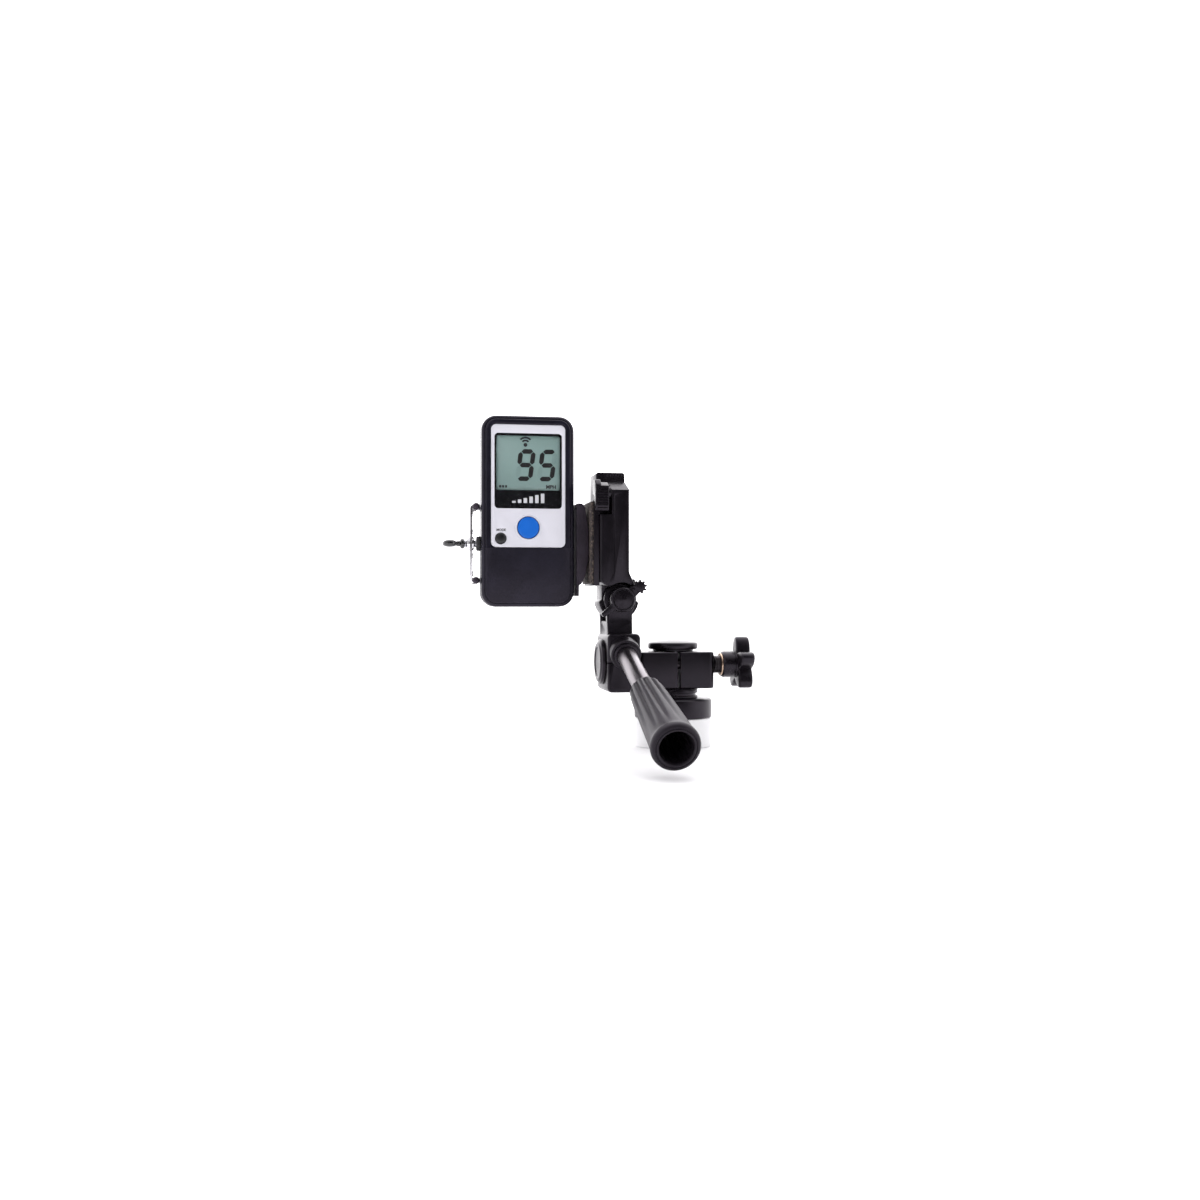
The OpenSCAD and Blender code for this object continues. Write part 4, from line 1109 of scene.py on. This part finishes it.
def build_latch():
    lever = prism("latch_thumb", rounded([
        (-22.3, 149.4, 2.4), (-13.6, 149.5, 2), (-13.6, 140.5, 1.5), (-20.4, 139.2, 2),
        (-20.4, 129.8, 0.9), (-25.2, 129.8, 1.2), (-26.2, 133, 3), (-25.9, 146, 3)], 6),
        "X", -54.6, -51)
    soften(lever, 0.6, 3, 40)
    pad = prism("pad", rounded([
        (-20.5, 148, 0.5), (-20.5, 129.8, 0.8), (-25.2, 129.8, 1.2), (-26.2, 133, 3),
        (-26.0, 145.2, 0.9)], 6), "X", -54.4, -46.3)
    soften(pad, 0.5, 3, 40)
    hub = lathe("hub", turned(4, -52, -43.8, 0.2), LATCH_AT, (1, 0, 0), 64)
    combine(lever, [pad, hub], "UNION")
    bore = lathe("cut", turned(1.55, -50.7, -43.4, 0.05), LATCH_AT, (1, 0, 0), 32)
    rib = box("rib", (-53.4, -28, 131.4), (-46.9, -25.2, 132.1))
    combine(lever, [bore, repeat(rib, 8, (0, 0, 1.65))])
    finish_piece(lever, "latch", "lever_plastic", "lever", "latch_lever")


def build_flip_lever():
    looks = bpy.context.scene.radar_head_looks
    teeth = looks.lever_teeth
    y0, y1 = -24.2, -20.8
    boss = lathe("flip_handle", [(-24.8, 0), (-24.8, 2.2), (-24.6, 2.6), (-24.55, 5.6),
                                 (-24.1, 5.8), (-24.1, 6.3), (-24.5, 6.6), (-24.3, 7.2),
                                 (-23.7, 7.6), (-15.2, 7.6), (-14.75, 7.3), (-14.7, 6.9),
                                 (-14.7, 0)], (FLIP_X, 0, FLIP_Z), (0, 1, 0))
    along = Vector((math.cos(math.radians(37)), math.sin(math.radians(37))))
    side = Vector((-along.y, along.x))

    def wing(points, name):
        outline = []
        for s, w, r in points:
            p = Vector((FLIP_X, FLIP_Z)) + along * s + side * w
            outline.append((p.x, p.y, r))
        return soften(prism(name, rounded(outline, 5), "Y", y0, y1), 0.5, 3, 40)

    long_wing = wing([(0, -4.4, 0), (8, -3.2, 2), (13, -2.4, 1), (13, 2.4, 1), (8, 3.2, 2),
                      (0, 4.4, 0)], "wing")
    short_wing = wing([(0, 3.0, 0), (-10, 2.0, 2), (-16.4, 1.5, 1.2), (-16.4, -1.5, 1.2),
                       (-10, -2.0, 2), (0, -3.0, 0)], "wing")
    tip = Vector((FLIP_X, FLIP_Z)) + along * 13.4
    disc = lathe("tip", turned(3.3, y0 - 0.3, y1 + 0.2, 0.4), (tip.x, 0, tip.y), (0, 1, 0), 64)
    tooth = prism("tooth", rounded([
        (tip.x - 0.75, tip.y + 2.9, 0), (tip.x + 0.75, tip.y + 2.9, 0),
        (tip.x + 0.45, tip.y + 4.3, 0.35), (tip.x - 0.45, tip.y + 4.3, 0.35)], 4), "Y",
        y0 - 0.2, y1 + 0.1)
    crown = repeat(tooth, teeth, turn=360 / teeth, axis=(0, 1, 0), centre=(tip.x, 0, tip.y))
    combine(boss, [long_wing, short_wing, disc, crown], "UNION")
    bore = lathe("cut", turned(3.05, -21.4, -14, 0.05), (FLIP_X, 0, FLIP_Z), (0, 1, 0), 48)
    combine(boss, [bore])
    soften(boss, 0.12, 2, 50)
    finish_piece(boss, "flip_lock", "lever_plastic", "lever", "flip_lever")


# ---- Tilt head and handle ----

def build_tilt_block():
    looks = bpy.context.scene.radar_head_looks
    block = prism("tilt_shell", rounded([
        (-45.9, 17, 3), (-25.05, 17, 3), (-25.05, 53.7, 3), (-45.9, 53.7, 3)], 8), "Y", -19, 18)
    soften(block, looks.edge + 0.3, 4, 40)
    neck = prism("neck", rounded([
        (-45, 50, 0), (-29.3, 50, 0), (-29.3, 61.6, 1.2), (-45, 61.6, 1.2)]), "Y", -14.5, 14.5)
    soften(neck, 0.8, 3, 40)
    parts = [neck]
    for y0 in (9.8, -14.5):
        ring = prism("ear", [(FLIP_X + x, FLIP_Z + z) for x, z in arc(0, 0, 10.3, 0, 355, 71)],
                     "Y", y0, y0 + 4.7)
        parts.append(soften(ring, 0.7, 3, 40))
        web = prism("web", [(-45, 52), (-29.3, 52), (-29.4, 70), (-45.8, 70)], "Y",
                    y0 + 0.02, y0 + 4.68)
        parts.append(soften(web, 0.6, 3, 40))
    boss = [(-4, 0), (-4, 9.6), (4.2, 9.6), (4.7, 9.4), (5, 9), (5, 0)]
    parts.append(lathe("boss", boss, HANDLE_AT, HANDLE_ALONG, 80))
    combine(block, parts, "UNION")
    cuts = [lathe("cut", turned(6.05, -47, -24, 0.05), (0, 0, TILT_Z), (1, 0, 0), 64),
            lathe("cut", turned(8, -12, 7, 0.05), HANDLE_AT, HANDLE_ALONG, 64),
            lathe("cut", turned(3.05, -22, 22, 0.05), (FLIP_X, 0, FLIP_Z), (0, 1, 0), 48),
            box("cut", (-47, -20, TILT_Z - 0.35), (-24, -5, TILT_Z + 0.35))]
    combine(block, cuts)
    soften(block, 0.15, 2, 50)
    finish_piece(block, "tilt_head", "head_plastic", "head", "tilt_block")

    profile = [(-45.92, 6.1), (-45.92, 13.7), (-46.3, 14.2), (-47.6, 14.2), (-48.1, 13.9),
               (-48.4, 13.3), (-48.5, 12.9), (-49.0, 12.5), (-49.35, 11.9), (-49.4, 11.3),
               (-49.4, 9.9), (-49.3, 9.6), (-48.9, 9.4), (-48.8, 9.0), (-48.7, 4), (-48.7, 0.001),
               (-47.1, 0.001), (-47.1, 6.1)]
    cap = lathe("side_cap", profile, (0, 0, TILT_Z), (1, 0, 0))
    finish_piece(cap, "tilt_head", "knob_plastic", "knob", "tilt_cap")
    bolt = softened("flip_bolt", 0.3, 2, 50)
    finish_piece(bolt, "tilt_head", "bolt_steel", "screw", "flip_bolt")
    nut = softened("flip_nut", 0.35, 2, 40)
    finish_piece(nut, "tilt_head", "bolt_steel", "screw", "flip_nut")


def build_handle():
    looks = bpy.context.scene.radar_head_looks
    profile = [(-12, 6.06), (-12, 7.6), (-11.7, 7.92), (5.4, 7.92), (6.2, 7.7), (6.55, 7.2),
               (6.6, 6.6), (6.6, 6.06)]
    socket = lathe("handle_collar", profile, HANDLE_AT, HANDLE_ALONG)
    finish_piece(socket, "tilt_head", "knob_plastic", "knob", "handle_socket")
    rod = lathe("handle_bar", turned(5.98, -10, 102, 0.4), HANDLE_AT, HANDLE_ALONG)
    finish_piece(rod, "pan_handle", "handle_metal", "rod", "handle_rod")

    ribs = looks.grip_ribs

    def flute(t, angle, r):
        """Flutes along the grip: deep at its collar, fading out before its end."""
        if r < 8.9 or not 66 < t < 139:
            return r
        fade = min((t - 66) / 2, 1) * (1 - ((t - 66) / 73) ** 3)
        wave = 0.5 - 0.5 * math.cos(ribs * angle)
        return r - 1.5 * fade * wave ** 2.2

    outer = [(66, 8.6), (66.2, 9.2), (66.8, 9.7), (68, 9.95), (70, 10.05)]
    outer += [(71 + 2.25 * k, 10.1 + 2.8 * (k / 30) ** 0.85) for k in range(31)]
    outer += [(140.6, 13.2), (141.6, 13.5), (142.6, 13.6), (143.8, 13.4), (144.8, 12.9),
              (145.4, 12.3), (145.6, 11.7), (145.7, 11.3), (145.3, 11.1), (145.3, 10.8),
              (145.9, 10.5), (146, 10.1), (145.8, 9.6), (145.2, 9.3), (144, 9.2), (104.4, 9.2),
              (104, 8.8), (104, 6.06), (66, 6.06)]
    grip = lathe("grip_sleeve", outer, HANDLE_AT, HANDLE_ALONG, ribs * 12, flute)
    finish_piece(grip, "pan_handle", "grip_rubber", "grip", "handle_grip", smooth=50)


# ---- Pan head ----

def build_pan_arm():
    looks = bpy.context.scene.radar_head_looks
    body = prism("arm_shell", rounded([
        (-24.75, -18, 2.4), (23, -18, 3.5), (23, 18, 3.5), (-24.75, 18, 2.4)], 8), "Z", 19, 42)
    soften(body, looks.edge, 4, 40)
    cuts = [lathe("cut", turned(9.05, 18, 43, 0.05), (0, 0, 0), (0, 0, 1), 80),
            box("cut", (-1.1, -19, 18), (1.1, -8, 43)),
            lathe("cut", turned(6.05, -26, -11, 0.05), (0, 0, TILT_Z), (1, 0, 0), 64),
            lathe("cut", turned(2.65, -12, 24, 0.05), (0, KNOB_Y, KNOB_Z), (1, 0, 0), 40)]
    combine(body, cuts)
    soften(body, 0.35, 3, 50)
    finish_piece(body, "pan_head", "head_plastic", "head", "pan_arm")


def build_knob():
    looks = bpy.context.scene.radar_head_looks
    lobes = looks.knob_lobes

    def star(scale):
        """A lobed outline: round lobes joined by hollow flanks."""
        points = []
        for k in range(lobes * 24):
            a = 2 * math.pi * k / (lobes * 24)
            swing = 0.5 + 0.5 * math.cos(lobes * a)
            r = 9.3 + (17.4 - 9.3) * swing ** 0.75 * (1 - 0.12 * (1 - swing))
            points.append((a, r * scale))
        return [(KNOB_Y + r * math.sin(a), KNOB_Z + r * math.cos(a)) for a, r in points]

    star_loops = []
    for x, scale in ((37.4, 0.93), (37.6, 0.965), (38.0, 0.99), (38.8, 1.0), (44.6, 1.0),
                     (45.4, 0.99), (45.9, 0.965), (46.1, 0.93)):
        star_loops.append([(x, y, z) for y, z in star(scale)])
    knob = loft("lock_knob", star_loops)
    hub = [(28.2, 0), (28.2, 7.2), (28.5, 7.7), (29.3, 8.2), (30.1, 8.3), (35.4, 8.3), (35.6, 7.9),
           (36.2, 7.9), (36.4, 8.3), (38.2, 8.5), (38.2, 0)]
    centre = lathe("hub", hub, (0, KNOB_Y, KNOB_Z), (1, 0, 0), 80)
    combine(knob, [centre], "UNION")
    bore = lathe("cut", turned(2.65, 27, 36, 0.05), (0, KNOB_Y, KNOB_Z), (1, 0, 0), 40)
    combine(knob, [bore])
    finish_piece(knob, "pan_lock", "knob_plastic", "knob", "pan_knob", smooth=45)

    def thread(t, angle, r):
        turn = (t / 1.0 + angle / (2 * math.pi)) % 1
        return r - 0.45 * abs(2 * turn - 1) if 23.6 < t < 27.2 and r > 5 else r

    profile = [(-11.5, 0), (-11.5, 2.3), (-11.2, 2.6), (23.4, 2.6), (23.42, 5.6)]
    profile += [(23.6 + 0.125 * k, 5.6) for k in range(30)]
    profile += [(27.38, 5.6), (27.4, 2.6), (36, 2.55), (36, 0)]
    stud = lathe("lock_stud", profile, (0, KNOB_Y, KNOB_Z), (1, 0, 0), 64, thread)
    finish_piece(stud, "pan_lock", "bolt_steel", "black_steel", "pan_lock_screw")
    profile = [(27.4, 2.65), (27.4, 6.9), (27.5, 7), (28.08, 7), (28.18, 6.9), (28.18, 2.65)]
    washer = lathe("lock_washer", profile, (0, KNOB_Y, KNOB_Z), (1, 0, 0))
    finish_piece(washer, "pan_lock", "insert_brass", "brass", "knob_washer")


def build_turned_parts():
    profile = [(32, 0), (32, 2.95), (42.2, 2.95), (42.2, 12.6), (42.4, 12.95), (43.4, 13.0),
               (43.5, 15.2), (43.9, 15.7), (44.6, 15.9), (46.6, 15.9), (47.2, 15.7),
               (47.6, 15.2), (47.8, 14.5)]
    profile += [(49.3 - 75 + 75 * math.cos(math.asin(r / 75)), r) for r in (12.5, 9, 6, 3)]
    profile += [(49.3, 0)]
    cap = lathe("dome_cap", profile, (0, 0, 0), (0, 0, 1))
    finish_piece(cap, "base", "knob_plastic", "knob", "top_cap")
    profile = [(12.42, 9.02), (12.42, 15.4), (12.8, 15.9), (13.7, 15.9), (14, 15.6), (14.1, 14.7),
               (15.5, 14.7), (15.6, 15.6), (15.9, 15.9), (18.3, 15.9), (18.7, 15.6), (18.8, 15.1),
               (18.8, 9.02)]
    ring = lathe("drag_ring", profile, (0, 0, 0), (0, 0, 1))
    finish_piece(ring, "base", "knob_plastic", "knob", "friction_ring")
    profile = [(0, 7.03), (0, 24.2), (0.5, 24.7), (10.4, 24.7), (11.2, 24.55), (11.8, 24.1),
               (12.2, 23.5), (12.4, 22.6), (12.4, 0.001), (11.0, 0.001), (11.0, 7.03)]
    base = lathe("base_disc", profile, (0, 0, 0), (0, 0, 1), 128)
    finish_piece(base, "base", "head_plastic", "head", "pan_base")


# ---- Stage ----

def build_stage():
    looks = bpy.context.scene.radar_stage_looks
    scene = bpy.context.scene
    scene.view_settings.view_transform = "Standard"

    world = bpy.data.worlds.new("Studio")
    scene.world = world
    world.use_nodes = True
    tree = world.node_tree
    sky = Nodes(tree)
    parts = {axis: sky.axis(axis) for axis in "XYZ"}
    # 1 straight behind the camera, falling to 0 at the sides
    behind = (parts["X"] * -CAMERA_ALONG.x + parts["Y"] * -CAMERA_ALONG.y).ramp(0.05, 0.75)
    tone = sky.add("ShaderNodeMix", {"data_type": "FLOAT"},
                   {"Factor": behind, 2: looks.surround, 3: looks.front}, 0)
    # a bright sheet of light above and behind, which the sloped faces reflect
    above = (parts["Y"] * 0.75 + parts["Z"] * 0.66).ramp(0.5, 0.95)
    tree.links.new((tone + above * looks.above).socket,
                   tree.nodes["Background"].inputs["Strength"])
    tree.nodes["Background"].inputs["Color"].default_value = (1, 0.985, 1, 1)

    pale = moulded("floor_paint", tuple(looks.floor), 0.7, 3, 0, 0.01).material
    floor = prism("floor", [(-3000, -2500), (3000, -2500), (3000, 3500), (-3000, 3500)], "Z",
                  FLOOR_Z - 20, FLOOR_Z)
    profile = [(FLOOR_Z, 0), (FLOOR_Z, 24), (FLOOR_Z + 0.5, 24.5), (-0.6, 24.5), (-0.1, 24),
               (-0.1, 0)]
    plinth = lathe("plinth", profile, (0, 0, 0), (0, 0, 1))
    for piece in (floor, plinth):
        piece.data.materials.append(pale)

    aim = Vector((-60, 0, 90)) * MM
    for name, place, width, height, share in (
        ("left_box", (-620, -420, 330), 0.5, 0.8, 1.0),
        ("right_box", (620, -480, 330), 0.5, 0.8, 0.8),
        ("top_box", (-60, -120, 760), 0.9, 0.7, 0.9),
        ("front_box", (-330, -900, 500), 0.3, 0.3, 0.35),
    ):
        light = bpy.data.lights.new(name, "AREA")
        light.shape = "RECTANGLE"
        light.size, light.size_y = width, height
        light.energy = looks.key * share
        lamp = bpy.data.objects.new(name, light)
        lamp.location = Vector(place) * MM
        lamp.rotation_euler = (aim - lamp.location).to_track_quat("-Z", "Y").to_euler()
        scene.collection.objects.link(lamp)

    data = bpy.data.cameras.new("camera")
    data.lens = looks.lens
    data.sensor_width = 36
    data.clip_start = 0.01
    camera = bpy.data.objects.new("camera", data)
    camera.location = CAMERA_AT * MM
    camera.rotation_euler = CAMERA_ALONG.to_track_quat("-Z", "Y").to_euler()
    scene.collection.objects.link(camera)
    scene.camera = camera


# ---- Operators and panel ----

class RADAR_OT_stage(bpy.types.Operator):
    """Adds the floor, the light and the camera"""

    bl_idname = "radar.stage"
    bl_label = "Stage"

    def execute(self, context):
        build_stage()
        return {"FINISHED"}


class RADAR_OT_housings(bpy.types.Operator):
    """Builds the radar unit's front and back housings"""

    bl_idname = "radar.housings"
    bl_label = "Housings"

    def execute(self, context):
        build_front_housing()
        build_back_housing()
        return {"FINISHED"}


class RADAR_OT_face(bpy.types.Operator):
    """Builds the label, the window and the display"""

    bl_idname = "radar.face"
    bl_label = "Face and display"

    def execute(self, context):
        build_display()
        return {"FINISHED"}


class RADAR_OT_buttons(bpy.types.Operator):
    """Builds the two button caps"""

    bl_idname = "radar.buttons"
    bl_label = "Buttons"

    def execute(self, context):
        build_buttons()
        return {"FINISHED"}


class RADAR_OT_back(bpy.types.Operator):
    """Builds the battery cover, the antenna cover and the screws"""

    bl_idname = "radar.back"
    bl_label = "Back details"

    def execute(self, context):
        build_back_details()
        return {"FINISHED"}


class RADAR_OT_inside(bpy.types.Operator):
    """Finishes the pieces inside the unit and the head"""

    bl_idname = "radar.inside"
    bl_label = "Inner pieces"

    def execute(self, context):
        build_inside()
        return {"FINISHED"}


class RADAR_OT_clamp(bpy.types.Operator):
    """Builds the jaw, the rods, the strap, the clamp screw and its paddle"""

    bl_idname = "radar.clamp"
    bl_label = "Clamp"

    def execute(self, context):
        build_jaw()
        build_rods()
        build_strap()
        build_screw()
        return {"FINISHED"}


class RADAR_OT_platform(bpy.types.Operator):
    """Builds the platform, its plate and latch, and the flip lever"""

    bl_idname = "radar.platform"
    bl_label = "Platform"

    def execute(self, context):
        build_platform()
        build_latch()
        build_flip_lever()
        return {"FINISHED"}


class RADAR_OT_tilt(bpy.types.Operator):
    """Builds the tilt block, its cap and its bolt"""

    bl_idname = "radar.tilt"
    bl_label = "Tilt block"

    def execute(self, context):
        build_tilt_block()
        return {"FINISHED"}


class RADAR_OT_handle(bpy.types.Operator):
    """Builds the handle's socket, rod and grip"""

    bl_idname = "radar.handle"
    bl_label = "Handle"

    def execute(self, context):
        build_handle()
        return {"FINISHED"}


class RADAR_OT_pan(bpy.types.Operator):
    """Builds the pan arm, the lock knob, the caps and the base"""

    bl_idname = "radar.pan"
    bl_label = "Pan head"

    def execute(self, context):
        build_pan_arm()
        build_knob()
        build_turned_parts()
        return {"FINISHED"}


OPERATORS = (
    RADAR_OT_stage, RADAR_OT_housings, RADAR_OT_face, RADAR_OT_buttons, RADAR_OT_back,
    RADAR_OT_inside, RADAR_OT_clamp, RADAR_OT_platform, RADAR_OT_tilt, RADAR_OT_handle,
    RADAR_OT_pan,
)
SETTINGS = {
    "radar_unit_looks": RadarUnitLooks,
    "radar_head_looks": RadarHeadLooks,
    "radar_stage_looks": RadarStageLooks,
}


class RADAR_PT_sidebar(bpy.types.Panel):
    """Settings and build steps of the speed radar."""

    bl_label = "Speed Radar"
    bl_space_type = "VIEW_3D"
    bl_region_type = "UI"
    bl_category = "Speed Radar"

    def draw(self, context):
        for group in SETTINGS:
            looks = getattr(context.scene, group)
            column = self.layout.column(align=True)
            for key in looks.__annotations__:
                column.prop(looks, key)
        for operator in OPERATORS:
            self.layout.operator(operator.bl_idname)


def register():
    for item in (*SETTINGS.values(), *OPERATORS, RADAR_PT_sidebar):
        bpy.utils.register_class(item)
    for name, group in SETTINGS.items():
        setattr(bpy.types.Scene, name, bpy.props.PointerProperty(type=group))


def unregister():
    for name in SETTINGS:
        delattr(bpy.types.Scene, name)
    for item in (RADAR_PT_sidebar, *reversed(OPERATORS), *SETTINGS.values()):
        bpy.utils.unregister_class(item)


def main():
    """Builds every piece in order."""
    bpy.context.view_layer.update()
    register()
    bpy.ops.radar.stage()
    bpy.ops.radar.housings()
    bpy.ops.radar.face()
    bpy.ops.radar.buttons()
    bpy.ops.radar.back()
    bpy.ops.radar.inside()
    bpy.ops.radar.clamp()
    bpy.ops.radar.platform()
    bpy.ops.radar.tilt()
    bpy.ops.radar.handle()
    bpy.ops.radar.pan()


if __name__ == "__main__":
    main()
